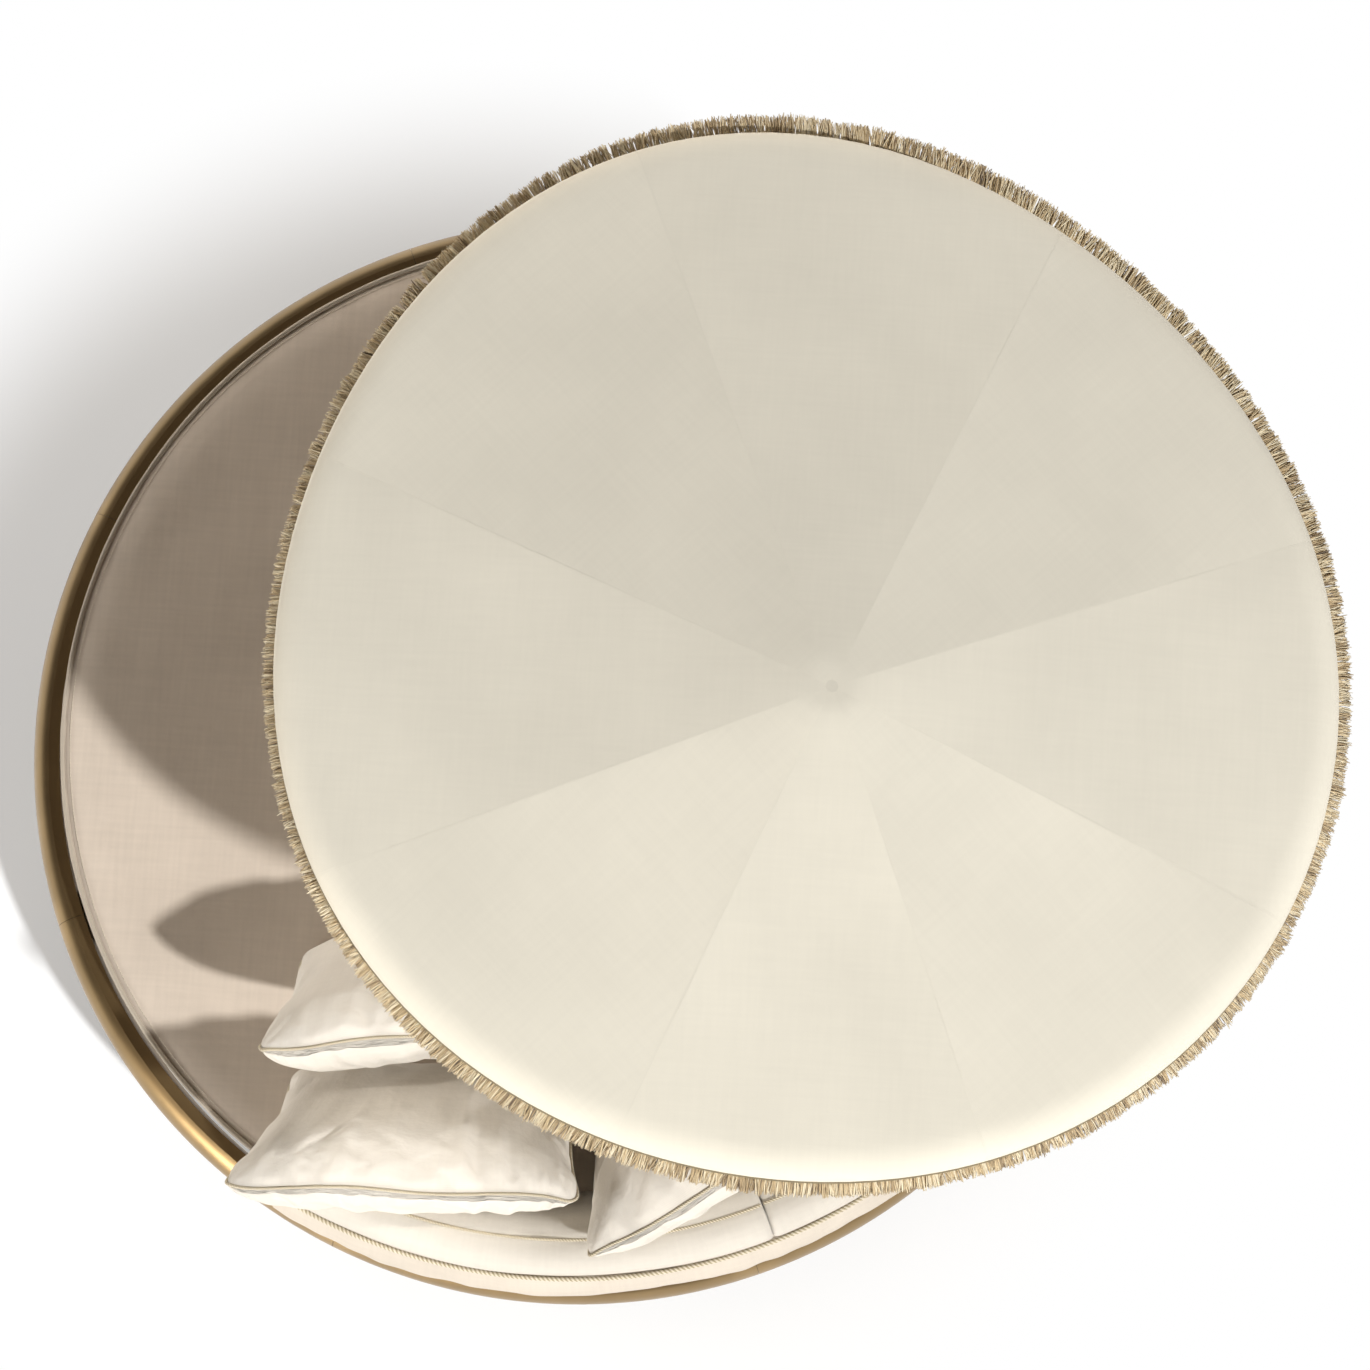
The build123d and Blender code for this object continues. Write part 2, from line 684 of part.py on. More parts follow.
def pillow_half(plane, side, slump):
    """One face of a pillow as a loft from its seam to its crown; its foot is narrower and slumps sideways."""
    with BuildPart() as half:
        for level, corner, waist in zip(pillow_levels_share, corner_share, side_share):
            x_top = corner * pillow_length / 2
            x_foot = corner * (pillow_length / 2 - pillow_tuck)
            x_waist = waist * (pillow_length / 2 - pillow_tuck / 2 - pillow_draw)
            y_corner = corner * pillow_depth / 2
            y_waist = waist * (pillow_depth / 2 - pillow_draw)
            top_shift = slump * (1 - corner) / 2
            foot_shift = slump * (1 + corner) / 2
            left_top, right_top = (top_shift - x_top, -y_corner), (top_shift + x_top, -y_corner)
            left_foot, right_foot = (foot_shift - x_foot, y_corner), (foot_shift + x_foot, y_corner)
            with BuildSketch(plane.offset(side * level * pillow_thickness / 2)):
                with BuildLine():
                    ThreePointArc(right_foot, (foot_shift, y_waist), left_foot)
                    ThreePointArc(left_foot, (slump / 2 - x_waist, 0), left_top)
                    ThreePointArc(left_top, (top_shift, -y_waist), right_top)
                    ThreePointArc(right_top, (slump / 2 + x_waist, 0), right_foot)
                make_face()
        loft()
    return half.part


def pillow_plane(spot, turn, rise, lean):
    """Plane of a pillow from the middle of its top edge, that edge's turn and rise, and its lean.

    The spot is the distance along the backrest, the setback from it and the height over the mattress.
    """
    along_back, setback, height = spot
    middle_bearing = back_start + degrees(along_back / back_inner_radius)
    reach = back_inner_radius - setback
    middle = Vector(
        reach * cos(radians(middle_bearing)),
        reach * sin(radians(middle_bearing)),
        mattress_top + height,
    )
    bearing = middle_bearing + 90 + turn
    along = Vector(
        cos(radians(rise)) * cos(radians(bearing)),
        cos(radians(rise)) * sin(radians(bearing)),
        sin(radians(rise)),
    )
    level = Vector(-sin(radians(bearing)), cos(radians(bearing)), 0)
    climb = along.cross(level)
    down = level * cos(radians(lean)) - climb * sin(radians(lean))
    centre = middle + down * (pillow_depth / 2)
    return Plane(origin=centre, x_dir=along, z_dir=along.cross(down))


# Middle of the top edge of each pillow, then the edge's turn and rise, and the pillow's lean and slump
pillow_spots = (
    (237.7, 65.5, 432.5),
    (184.9, 350.9, 440.4),
    (919.8, 97.0, 453.2),
    (3314.7, 98.0, 432.6),
)
pillow_turns = (
    (17.13, -1.5, 62.0),
    (27.1, 0.0, 64.0),
    (8.78, 16.0, 60.0),
    (0.12, 0.0, 62.0),
)
pillow_slumps = (45.0, 12.0, -30.0, 10.0)

# Pillows are pressed flat where they meet the mattress and the back cushions
with BuildPart() as pressed_against:
    add(back_cushion_face(back_start, seat_gap))
    revolve(axis=Axis.Z, revolution_arc=back_arc)
    with BuildSketch(Plane.XY.offset(mattress_seat)):
        Circle(ring_inner)
    extrude(amount=-mattress_thickness)
for number, (spot, turns, slump) in enumerate(zip(pillow_spots, pillow_turns, pillow_slumps)):
    plane = pillow_plane(spot, *turns)
    with BuildPart() as pillow:
        add(pillow_half(plane, 1, slump))
        add(pillow_half(plane, -1, slump))
        add(pressed_against.part, mode=Mode.SUBTRACT)
    label = f"pillow_{number + 1}"
    pillow.part.label = label
    export_step(pillow.part, f"parts/{label}.step")

# Mast bracket: a floor pad, a sleeve for the mast and an arm bolted under the ring
mast_plane = upright(mast_bearing)
mast_floor = Plane.XY.rotated((0, 0, mast_bearing))
arm_bolt_reach = (arm_reach + ring_radius - ring_bow) / 2
with BuildPart() as mast_bracket:
    with BuildSketch(mast_floor):
        with Locations((mast_reach, 0)):
            Circle(sleeve_foot_radius)
    extrude(amount=foot_thickness)
    with BuildSketch(mast_floor.offset(foot_thickness)):
        with Locations((mast_reach, 0)):
            Circle(mast_radius + seat_gap + sleeve_wall)
            Circle(mast_radius + seat_gap, mode=Mode.SUBTRACT)
    extrude(amount=sleeve_top - foot_thickness)
    with BuildSketch(mast_floor.offset(ring_low - seat_gap)):
        with Locations(((arm_reach + mast_reach) / 2, 0)):
            Rectangle(mast_reach - arm_reach, arm_width)
        with Locations((mast_reach, 0)):
            Circle(mast_radius + seat_gap, mode=Mode.SUBTRACT)
        with Locations((arm_bolt_reach, 0)):
            with GridLocations(0, 2 * mast_bolt_spread, 1, 2):
                Circle(mast_bolt_hole_radius, mode=Mode.SUBTRACT)
    extrude(amount=-arm_thickness)
mast_bracket.part.label = "mast_bracket"
export_step(mast_bracket.part, "parts/mast_bracket.step")

# Mast bolts rise through the arm into the ring
arm_bottom = ring_low - seat_gap - arm_thickness
with BuildPart() as mast_bolts:
    with BuildSketch(mast_floor.offset(arm_bottom - seat_gap)):
        with Locations((arm_bolt_reach, 0)):
            with GridLocations(0, 2 * mast_bolt_spread, 1, 2):
                RegularPolygon(mast_bolt_head_radius, 6)
    extrude(amount=-mast_bolt_head_height)
    with BuildSketch(mast_floor.offset(arm_bottom - seat_gap)):
        with Locations((arm_bolt_reach, 0)):
            with GridLocations(0, 2 * mast_bolt_spread, 1, 2):
                Circle(mast_bolt_radius)
    extrude(amount=arm_thickness + ring_wall + mast_bolt_tail)
mast_bolts.part.label = "mast_bolts"
export_step(mast_bolts.part, "parts/mast_bolts.step")

# Mast: upright, one large bend, then a slope up to the tilt joint
slope = radians(mast_slope)
bend_sweep = 90 - mast_slope
bend_centre = mast_reach - mast_bend
bend_end = (
    bend_centre + mast_bend * cos(radians(bend_sweep)),
    pivot_height - (bend_centre + mast_bend * cos(radians(bend_sweep)) - hub_reach) * tan(slope),
)
bend_start = (mast_reach, bend_end[1] - mast_bend * sin(radians(bend_sweep)))
mast_tip = (hub_reach + mast_stop * cos(slope), pivot_height - mast_stop * sin(slope))
bend_middle = (
    bend_centre + mast_bend * cos(radians(bend_sweep / 2)),
    bend_start[1] + mast_bend * sin(radians(bend_sweep / 2)),
)
with BuildPart() as mast_tube:
    with BuildLine(mast_plane):
        Line((mast_reach, foot_thickness), bend_start)
        ThreePointArc(bend_start, bend_middle, bend_end)
        Line(bend_end, mast_tip)
    with BuildSketch(mast_floor.offset(foot_thickness)):
        with Locations((mast_reach, 0)):
            Circle(mast_radius)
            Circle(mast_radius - mast_wall, mode=Mode.SUBTRACT)
    sweep()
mast_tube.part.label = "mast_tube"
export_step(mast_tube.part, "parts/mast_tube.step")

# Tilt head: a plug in the mast, a collar and two ears around the canopy's eye
tip_point = mast_plane.from_local_coords(Vector(mast_tip[0], mast_tip[1], 0))
mast_out = mast_plane.x_dir * cos(slope) - Vector(0, 0, 1) * sin(slope)
head_plane = Plane(origin=tip_point, x_dir=mast_plane.z_dir, z_dir=mast_out * -1)
pivot_point = mast_plane.from_local_coords(Vector(hub_reach, pivot_height, 0))
ear_inner = eye_thickness / 2 + eye_gap
ear_plane = Plane(origin=pivot_point, x_dir=mast_out, z_dir=mast_plane.z_dir)
with BuildPart() as tilt_head:
    with BuildSketch(head_plane):
        Circle(mast_radius - mast_wall - seat_gap)
    extrude(amount=-plug_length)
    with BuildSketch(head_plane):
        Circle(mast_radius)
    extrude(amount=collar_length)
    for side in (1, -1):
        with BuildSketch(ear_plane.offset(side * ear_inner)):
            Circle(ear_height / 2)
            with Locations(((mast_stop - collar_length) / 2, 0)):
                Rectangle(mast_stop - collar_length, ear_height)
            Circle(pin_radius + pin_clearance, mode=Mode.SUBTRACT)
        extrude(amount=side * ear_thickness)
tilt_head.part.label = "tilt_head"
export_step(tilt_head.part, "parts/tilt_head.step")

# Tilt pin: one riveted pin through ears, eye and lever
ear_outer = ear_inner + ear_thickness
pin_top = ear_outer + seat_gap + lever_thickness + seat_gap
with BuildPart() as tilt_pin:
    with BuildSketch(ear_plane.offset(-ear_outer - seat_gap)):
        Circle(pin_head_radius)
    extrude(amount=-pin_head_height)
    with BuildSketch(ear_plane.offset(-ear_outer - seat_gap)):
        Circle(pin_radius)
    extrude(amount=ear_outer + seat_gap + pin_top)
    with BuildSketch(ear_plane.offset(pin_top)):
        Circle(pin_head_radius)
    extrude(amount=pin_head_height)
tilt_pin.part.label = "tilt_pin"
export_step(tilt_pin.part, "parts/tilt_pin.step")

# Clamp lever: hangs down beside the ear at rest
lever_plane = Plane(origin=pivot_point, x_dir=(0, 0, -1), z_dir=mast_plane.z_dir)
with BuildPart() as clamp_lever:
    with BuildSketch(lever_plane.offset(ear_outer + seat_gap)):
        Circle(lever_boss_radius)
        with Locations((lever_length / 2, 0)):
            SlotCenterToCenter(lever_length, lever_width)
        Circle(pin_radius + pin_clearance, mode=Mode.SUBTRACT)
    extrude(amount=lever_thickness)
clamp_lever.part.label = "clamp_lever"
export_step(clamp_lever.part, "parts/clamp_lever.step")

# Canopy hub: base plate, stem, lug and the eye that turns on the pin
lug_plane = Plane(origin=pivot_point, x_dir=(0, 0, 1), z_dir=mast_plane.z_dir).offset(-eye_thickness / 2)
with BuildPart() as canopy_hub:
    with BuildSketch(Plane.XY.offset(hub_base_bottom)):
        with Locations((canopy_hub_x, canopy_hub_y)):
            Circle(hub_plate_radius)
            with PolarLocations(hub_screw_reach, ring_count, ring_step / 2):
                Circle(hub_screw_hole_radius, mode=Mode.SUBTRACT)
    extrude(amount=hub_base_thickness)
    with BuildSketch(Plane.XY.offset(hub_base_bottom)):
        with Locations((canopy_hub_x, canopy_hub_y)):
            Circle(stem_radius)
    extrude(amount=lug_height - stem_length)
    with BuildSketch(lug_plane):
        Circle(eye_radius)
        with Locations((lug_height / 2, 0)):
            Rectangle(lug_height, 2 * stem_radius)
    extrude(amount=eye_thickness)
    with BuildSketch(ear_plane.offset(-eye_thickness / 2)):
        Circle(pin_radius + pin_clearance)
    extrude(amount=eye_thickness, mode=Mode.SUBTRACT)
canopy_hub.part.label = "canopy_hub"
export_step(canopy_hub.part, "parts/canopy_hub.step")

# Top plate that clamps the rib ends on the hub
with BuildPart() as hub_top_plate:
    with BuildSketch(Plane.XY.offset(tang_top)):
        with Locations((canopy_hub_x, canopy_hub_y)):
            Circle(hub_plate_radius)
            with PolarLocations(hub_screw_reach, ring_count, ring_step / 2):
                Circle(hub_screw_hole_radius, mode=Mode.SUBTRACT)
    extrude(amount=hub_plate_thickness)
hub_top_plate.part.label = "hub_top_plate"
export_step(hub_top_plate.part, "parts/hub_top_plate.step")

# Hub screws, one through each rib end
with BuildPart() as hub_screws:
    with BuildSketch(Plane.XY.offset(hub_plate_top + seat_gap)):
        with Locations((canopy_hub_x, canopy_hub_y)):
            with PolarLocations(hub_screw_reach, ring_count, ring_step / 2):
                Circle(hub_screw_head_radius)
    extrude(amount=hub_screw_head_height)
    with BuildSketch(Plane.XY.offset(hub_plate_top + seat_gap)):
        with Locations((canopy_hub_x, canopy_hub_y)):
            with PolarLocations(hub_screw_reach, ring_count, ring_step / 2):
                Circle(hub_screw_radius)
    extrude(amount=hub_base_bottom - hub_plate_top)
hub_screws.part.label = "hub_screws"
export_step(hub_screws.part, "parts/hub_screws.step")


def rim_point(half_step, share, inset, slack=1):
    """Point of the canopy's plan outline: even half steps are ribs, odd ones the middles of gores."""
    turn = radians(ring_step / 2 * (half_step + 1))
    shares = gore_reach_share if half_step % 2 else rib_reach_share
    reach = canopy_radius * shares[half_step // 2 % ring_count] * share - inset
    if half_step % 2:
        reach = reach * slack
    return (canopy_hub_x + reach * cos(turn), canopy_hub_y + reach * sin(turn))


def outline_face(height, share, inset, slack=1):
    """Plan outline of the canopy at a height: eight arcs from rib to rib, flatter with some slack."""
    with BuildSketch(Plane.XY.offset(height)) as face:
        with BuildLine():
            for gore in range(ring_count):
                ThreePointArc(
                    rim_point(2 * gore, share, inset),
                    rim_point(2 * gore + 1, share, inset, slack),
                    rim_point(2 * gore + 2, share, inset),
                )
        make_face()
    return face.sketch


# Ribs: a flat tang under the top plate, a sloping tube and a socket under the rim
for number in range(ring_count):
    bearing = joint_bearing(number)
    turn = radians(bearing)
    reach = canopy_radius * rib_reach_share[number] - socket_inset
    rib_plane = Plane(
        origin=(canopy_hub_x, canopy_hub_y, 0),
        x_dir=(cos(turn), sin(turn), 0),
        z_dir=(sin(turn), -cos(turn), 0),
    )
    inner_end = (tang_outer - rib_overlap, (tang_top + tang_bottom) / 2)
    outer_end = (reach, hoop_height)
    rib_run = Vector(outer_end[0] - inner_end[0], outer_end[1] - inner_end[1], 0)
    way = rib_plane.x_dir * rib_run.X + Vector(0, 0, 1) * rib_run.Y
    tube_plane = Plane(
        origin=rib_plane.from_local_coords(Vector(*inner_end, 0)),
        x_dir=rib_plane.z_dir,
        z_dir=way,
    )
    with BuildPart() as canopy_rib:
        with BuildSketch(rib_plane.offset(-tang_width / 2)):
            with Locations(((tang_inner + tang_outer) / 2, (tang_top + tang_bottom) / 2)):
                Rectangle(tang_outer - tang_inner, tang_thickness)
        extrude(amount=tang_width)
        with BuildSketch(tube_plane):
            Circle(rib_radius)
        extrude(amount=rib_run.length)
        socket_spot = rib_plane.from_local_coords(Vector(reach, 0, 0))
        with BuildSketch(Plane.XY.offset(hoop_height - rib_socket_height / 2)):
            with Locations((socket_spot.X, socket_spot.Y)):
                Circle(rib_socket_radius)
        extrude(amount=rib_socket_height)
        screw_spot = rib_plane.from_local_coords(Vector(hub_screw_reach, 0, 0))
        with BuildSketch(Plane.XY.offset(tang_bottom - cut_overrun)):
            with Locations((screw_spot.X, screw_spot.Y)):
                Circle(hub_screw_hole_radius)
        extrude(amount=tang_thickness + 2 * cut_overrun, mode=Mode.SUBTRACT)
    label = f"canopy_rib_{number + 1}"
    canopy_rib.part.label = label
    export_step(canopy_rib.part, f"parts/{label}.step")


def hoop_rod(gore):
    """Rod of the rim hoop between two rib sockets."""
    with BuildPart() as rod:
        with BuildLine(Plane.XY.offset(hoop_height), mode=Mode.PRIVATE) as whole:
            ThreePointArc(
                rim_point(2 * gore, 1, hoop_inset),
                rim_point(2 * gore + 1, 1, hoop_inset),
                rim_point(2 * gore + 2, 1, hoop_inset),
            )
        arc = whole.edges()[0]
        trim = hoop_trim / arc.length
        with BuildLine() as path:
            ThreePointArc(arc @ trim, arc @ 0.5, arc @ (1 - trim))
        with BuildSketch(Plane(origin=path.line @ 0, z_dir=path.line % 0)):
            Circle(hoop_radius)
        sweep()
    return rod.part


# Hoop: eight bent rods that end in the rib sockets
with BuildPart() as canopy_hoop:
    for gore in range(ring_count):
        add(hoop_rod(gore))
canopy_hoop.part.label = "canopy_hoop"
export_step(canopy_hoop.part, "parts/canopy_hoop.step")

# Canopy cover: eight nearly flat gores, seam by seam, from the hub to a rolled-over edge, open below
cover_heights = (
    canopy_top,
    canopy_rim + (canopy_top - canopy_rim) * (1 - gore_middle_share),
    canopy_rim,
    canopy_rim - roll_shoulder_drop,
    canopy_rim - roll_edge_drop,
    canopy_rim - roll_side_drop,
    canopy_rim - roll_hem_drop,
)
cover_shares = (hub_cap_share, gore_middle_share, 1, 1, 1, 1, 1)
cover_insets = (
    0,
    roll_inset * gore_middle_share,
    roll_inset,
    roll_shoulder_inset,
    roll_edge_inset,
    0,
    roll_hem_inset,
)
cover_slacks = (gore_flat_share, gore_flat_share, gore_edge_share, 1, 1, 1, 1)
with BuildPart() as canopy_cover:
    for height, share, inset, slack in zip(cover_heights, cover_shares, cover_insets, cover_slacks):
        add(outline_face(height, share, inset, slack))
    loft(ruled=True)
    for height, share, inset, slack in zip(cover_heights, cover_shares, cover_insets, cover_slacks):
        hem = height == cover_heights[-1]
        lining_height = height if hem else height - fabric_thickness
        add(outline_face(lining_height, share, inset + fabric_thickness, slack))
    loft(ruled=True, mode=Mode.SUBTRACT)
    with BuildSketch(Plane.XY.offset(cover_heights[-1] - cut_overrun)):
        with Locations((canopy_hub_x, canopy_hub_y)):
            for number in range(ring_count // 2):
                Rectangle(4 * canopy_radius, seat_gap, rotation=joint_bearing(number))
    extrude(amount=canopy_top - cover_heights[-1] + 2 * cut_overrun, mode=Mode.SUBTRACT)
canopy_cover.part.label = "canopy_cover"
export_step(canopy_cover.part, "parts/canopy_cover.step")

# Fringe: a tape under the hem and straw bunches that stand out and droop
tape_top = canopy_rim - roll_hem_drop - seat_gap
strand_places = []
for gore in range(ring_count):
    with BuildLine(Plane.XY.offset(tape_top - tape_height / 2)) as edge:
        ThreePointArc(
            rim_point(2 * gore, 1, tape_thickness / 2),
            rim_point(2 * gore + 1, 1, tape_thickness / 2),
            rim_point(2 * gore + 2, 1, tape_thickness / 2),
        )
    for strand in range(fringe_strands):
        place = (strand + 0.5) / fringe_strands
        spot = edge.line @ place
        run = edge.line % place
        swing = fringe_swing * sin(radians(strand * fringe_swing_turn))
        heading = degrees(atan2(run.Y, run.X)) - 90 + swing
        place_at = Location((spot.X, spot.Y, spot.Z), (0, 0, heading))
        strand_places.append(place_at * Location((0, 0, 0), (0, fringe_droop, 0)))
with BuildPart() as canopy_fringe:
    add(outline_face(tape_top - tape_height, 1, 0))
    extrude(amount=tape_height)
    add(outline_face(tape_top - tape_height, 1, tape_thickness))
    extrude(amount=tape_height, mode=Mode.SUBTRACT)
    with Locations(*strand_places):
        Box(
            fringe_length,
            fringe_width,
            fringe_thickness,
            align=(Align.MIN, Align.CENTER, Align.CENTER),
        )
canopy_fringe.part.label = "canopy_fringe"
export_step(canopy_fringe.part, "parts/canopy_fringe.step")
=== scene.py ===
import json
from math import atan2, cos, pi, radians, sin, sqrt, tan, tau

import bpy
import numpy as np
from mathutils import Matrix, Vector


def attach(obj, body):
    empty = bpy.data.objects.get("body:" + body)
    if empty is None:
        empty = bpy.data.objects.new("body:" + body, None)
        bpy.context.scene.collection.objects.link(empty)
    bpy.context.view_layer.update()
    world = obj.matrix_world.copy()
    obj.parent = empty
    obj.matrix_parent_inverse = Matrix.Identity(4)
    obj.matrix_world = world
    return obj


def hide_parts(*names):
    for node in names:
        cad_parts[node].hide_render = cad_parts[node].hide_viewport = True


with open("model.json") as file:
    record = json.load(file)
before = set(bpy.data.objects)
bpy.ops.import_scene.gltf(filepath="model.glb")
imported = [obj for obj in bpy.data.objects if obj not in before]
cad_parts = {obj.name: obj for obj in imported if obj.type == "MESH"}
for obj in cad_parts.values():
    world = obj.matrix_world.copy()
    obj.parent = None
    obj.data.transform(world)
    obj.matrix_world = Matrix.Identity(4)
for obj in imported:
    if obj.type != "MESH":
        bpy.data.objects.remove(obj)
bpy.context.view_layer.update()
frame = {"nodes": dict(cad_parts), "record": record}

# Round outdoor daybed: soft goods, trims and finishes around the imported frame. All lengths are in metres.
BASE = "base"
CANOPY = "canopy"
UP = np.array((0.0, 0.0, 1.0))
scene = bpy.context.scene

# Sizes that the soft goods share with the frame
MATTRESS_RADIUS = 1.019
MATTRESS_LOW = 0.2703
MATTRESS_EDGE = 0.428
MATTRESS_TOP = 0.442
BACK_START = radians(-118.5)
BACK_ARC = radians(213.5)
BACK_INNER = 1.019
BACK_SHOULDER = 1.06
BACK_TOP_SHOULDER = 1.049
BACK_BULGE = 1.084
BACK_FOOT = 0.352
BACK_INNER_FOOT = 0.448
BACK_TOP = 0.655
BACK_MEAN = 1.06
CUSHIONS = 4
CUSHION_SEAM = (0.983, 0.716)
CUSHION_FOOT = (0.884, 0.4425)
CUSHION_BACK = 1.0184
CUSHION_MEAN = 0.98
PILLOW_LENGTH = 0.655
PILLOW_DEPTH = 0.49
PILLOW_THICKNESS = 0.176
HUB = np.array((0.465, -0.07, 0.0))
GORES = 8
GORE_ARC = tau / GORES
HALF_GORE = GORE_ARC / 2
CANOPY_RADIUS = 0.9
CANOPY_TOP = 1.7
CANOPY_RIM = 1.55
HOOP_HEIGHT = 1.493
HEM_HEIGHT = 1.479
ROLL_INSET = 0.062
ROLL_POWER = 2.4
RIB_REACH = (0.966, 1.022, 1.14, 1.078, 1.011, 0.908, 0.896, 0.939)
GORE_REACH = (0.979, 1.097, 1.119, 1.047, 0.958, 0.888, 0.917, 0.956)

# Trims
ROPE_RADIUS = 0.005
ROPE_STRANDS = 4
ROPE_SECTIONS = 6
ROPE_STEP = 0.12  # share of a rope's pitch between two rings of points
CORD_RADIUS = 0.005
CORD_STANDOFF = 0.0053  # from the cloth to the middle of a cord
CORD_SECTIONS = 10
CORD_STEP = 0.006
STITCH_LENGTH = 0.0042
STITCH_GAP = 0.0022
THREAD_RADIUS = 0.0006


# ---- geometry helpers
def configured(thing, **settings):
    """A thing of Blender's with some of its settings changed."""
    for key, value in settings.items():
        setattr(thing, key, value)
    return thing


def placed(name, data):
    """An object in the scene that shows some data."""
    made = bpy.data.objects.new(name, data)
    scene.collection.objects.link(made)
    return made


def mesh_piece(name, points, faces, looks, body, tones=None):
    """An object from points and faces of one length, riding on a body."""
    points = np.asarray(points, np.float32).reshape(-1, 3)
    faces = np.asarray(faces, np.int32)
    mesh = bpy.data.meshes.new(name)
    mesh.vertices.add(len(points))
    mesh.vertices.foreach_set("co", points.ravel())
    mesh.loops.add(faces.size)
    mesh.loops.foreach_set("vertex_index", faces.ravel())
    mesh.polygons.add(len(faces))
    mesh.polygons.foreach_set("loop_start", np.arange(len(faces), dtype=np.int32) * faces.shape[1])
    mesh.polygons.foreach_set("use_smooth", np.ones(len(faces), bool))
    mesh.update(calc_edges=True)
    mesh.validate()
    for look in looks if isinstance(looks, list) else [looks]:
        mesh.materials.append(look)
    if tones is not None:
        mesh.polygons.foreach_set("material_index", np.asarray(tones, np.int32))
    piece = placed(name, mesh)
    if body:
        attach(piece, body)
    return piece


def grid_faces(rows, columns, wrap_rows=False, wrap_columns=True):
    """Quads of a grid of points, rows first."""
    row, column = np.meshgrid(
        np.arange(rows if wrap_rows else rows - 1),
        np.arange(columns if wrap_columns else columns - 1),
        indexing="ij",
    )
    here, there = row * columns, (row + 1) % rows * columns
    column_next = (column + 1) % columns
    corners = [here + column, there + column, there + column_next, here + column_next]
    return np.stack(corners, -1).reshape(-1, 4)


def fan_faces(middle, ring):
    """Quads that close a ring of points to its middle, over two of its edges each."""
    count = len(ring)
    order = np.arange(0, count - count % 2, 2)
    corners = [np.full(len(order), middle), ring[order], ring[(order + 1) % count], ring[(order + 2) % count]]
    return np.stack(corners, 1)


def store(piece, name, values):
    """Stores a vector or a number per point on a mesh, for its material."""
    values = np.asarray(values, np.float32)
    kind, key = ("FLOAT_VECTOR", "vector") if values.ndim == 2 else ("FLOAT", "value")
    piece.data.attributes.new(name, kind, "POINT").data.foreach_set(key, values.ravel())


def swell(points, size, seed):
    """Smooth random field of about unit height that varies over a length."""
    draw, waves = np.random.default_rng(seed), 20
    points = np.asarray(points, float).reshape(len(points), -1)
    ways = draw.normal(size=(waves, points.shape[1])) * (1.6 / size)
    phases = draw.uniform(0, tau, waves)
    return np.cos(points @ ways.T + phases).sum(1) * sqrt(2 / waves)


def unit(vectors):
    """The same directions at a length of one."""
    return vectors / np.maximum(np.linalg.norm(vectors, axis=-1, keepdims=True), 1e-12)


def polar(reach, turn, height, centre=(0.0, 0.0)):
    """Points at a reach and a bearing from a centre, and at a height."""
    x, y = centre[0] + reach * np.cos(turn), centre[1] + reach * np.sin(turn)
    return np.stack(np.broadcast_arrays(x, y, height), -1)


def circle_path(radius, height, start=0.0, arc=tau, count=720):
    """Points of a level arc about the centre line."""
    return polar(radius, start + np.linspace(0, arc, count, endpoint=arc < tau), height)


def arc_points(first, middle, last, count):
    """Points of the circle arc through three points of a plane."""
    first, middle, last = (np.asarray(p, float) for p in (first, middle, last))
    matrix = 2 * np.array([middle - first, last - first])
    offsets = np.array([middle @ middle - first @ first, last @ last - first @ first])
    centre = np.linalg.solve(matrix, offsets)
    angles = [atan2(*(p - centre)[::-1]) for p in (first, middle, last)]
    sweep = (angles[2] - angles[0]) % tau
    if (angles[1] - angles[0]) % tau > sweep:
        sweep -= tau
    turn = angles[0] + np.linspace(0, sweep, count)
    radius = np.linalg.norm(first - centre)
    return polar(radius, turn, 0.0, centre)[:, :2]


def curve_through(points, count):
    """Smooth curve through points of a profile, in cubic steps."""
    points = np.asarray(points, float)
    slopes = np.gradient(points, axis=0)
    spans = len(points) - 1
    place = np.linspace(0, spans, count)
    index = np.minimum(place.astype(int), spans - 1)
    t = (place - index)[:, None]
    a, b, da, db = points[index], points[index + 1], slopes[index], slopes[index + 1]
    return (
        (2 * t**3 - 3 * t**2 + 1) * a
        + (t**3 - 2 * t**2 + t) * da
        + (-2 * t**3 + 3 * t**2) * b
        + (t**3 - t**2) * db
    )


def run_along(path):
    """Distance along a polyline at each of its points."""
    return np.r_[0, np.cumsum(np.linalg.norm(np.diff(path, axis=0), axis=1))]


def spaced(path, step, closed):
    """Points evenly spaced along a polyline, about a step apart, and the spacing."""
    path = np.asarray(path, float)
    if closed:
        path = np.vstack([path, path[:1]])
    reach = run_along(path)
    count = max(4, int(round(reach[-1] / step)))
    marks = np.linspace(0, reach[-1], count + (not closed), endpoint=not closed)
    points = np.stack([np.interp(marks, reach, path[:, axis]) for axis in range(3)], 1)
    return points, reach[-1] / count


def directions(points, closed):
    """Unit tangents of a polyline."""
    if closed:
        return unit(np.roll(points, -1, 0) - np.roll(points, 1, 0))
    return unit(np.gradient(points, axis=0))


def tube_points(points, tangents, side, radius, sections):
    """Rings of points round a path: side is a vector across it at each point."""
    side = unit(side - tangents * (side * tangents).sum(1, keepdims=True))
    other = np.cross(tangents, side)
    turn = np.linspace(0, tau, sections, endpoint=False)
    radius = np.broadcast_to(radius, len(points))[:, None, None]
    ring = np.cos(turn)[:, None] * side[:, None] + np.sin(turn)[:, None] * other[:, None]
    return points[:, None] + radius * ring


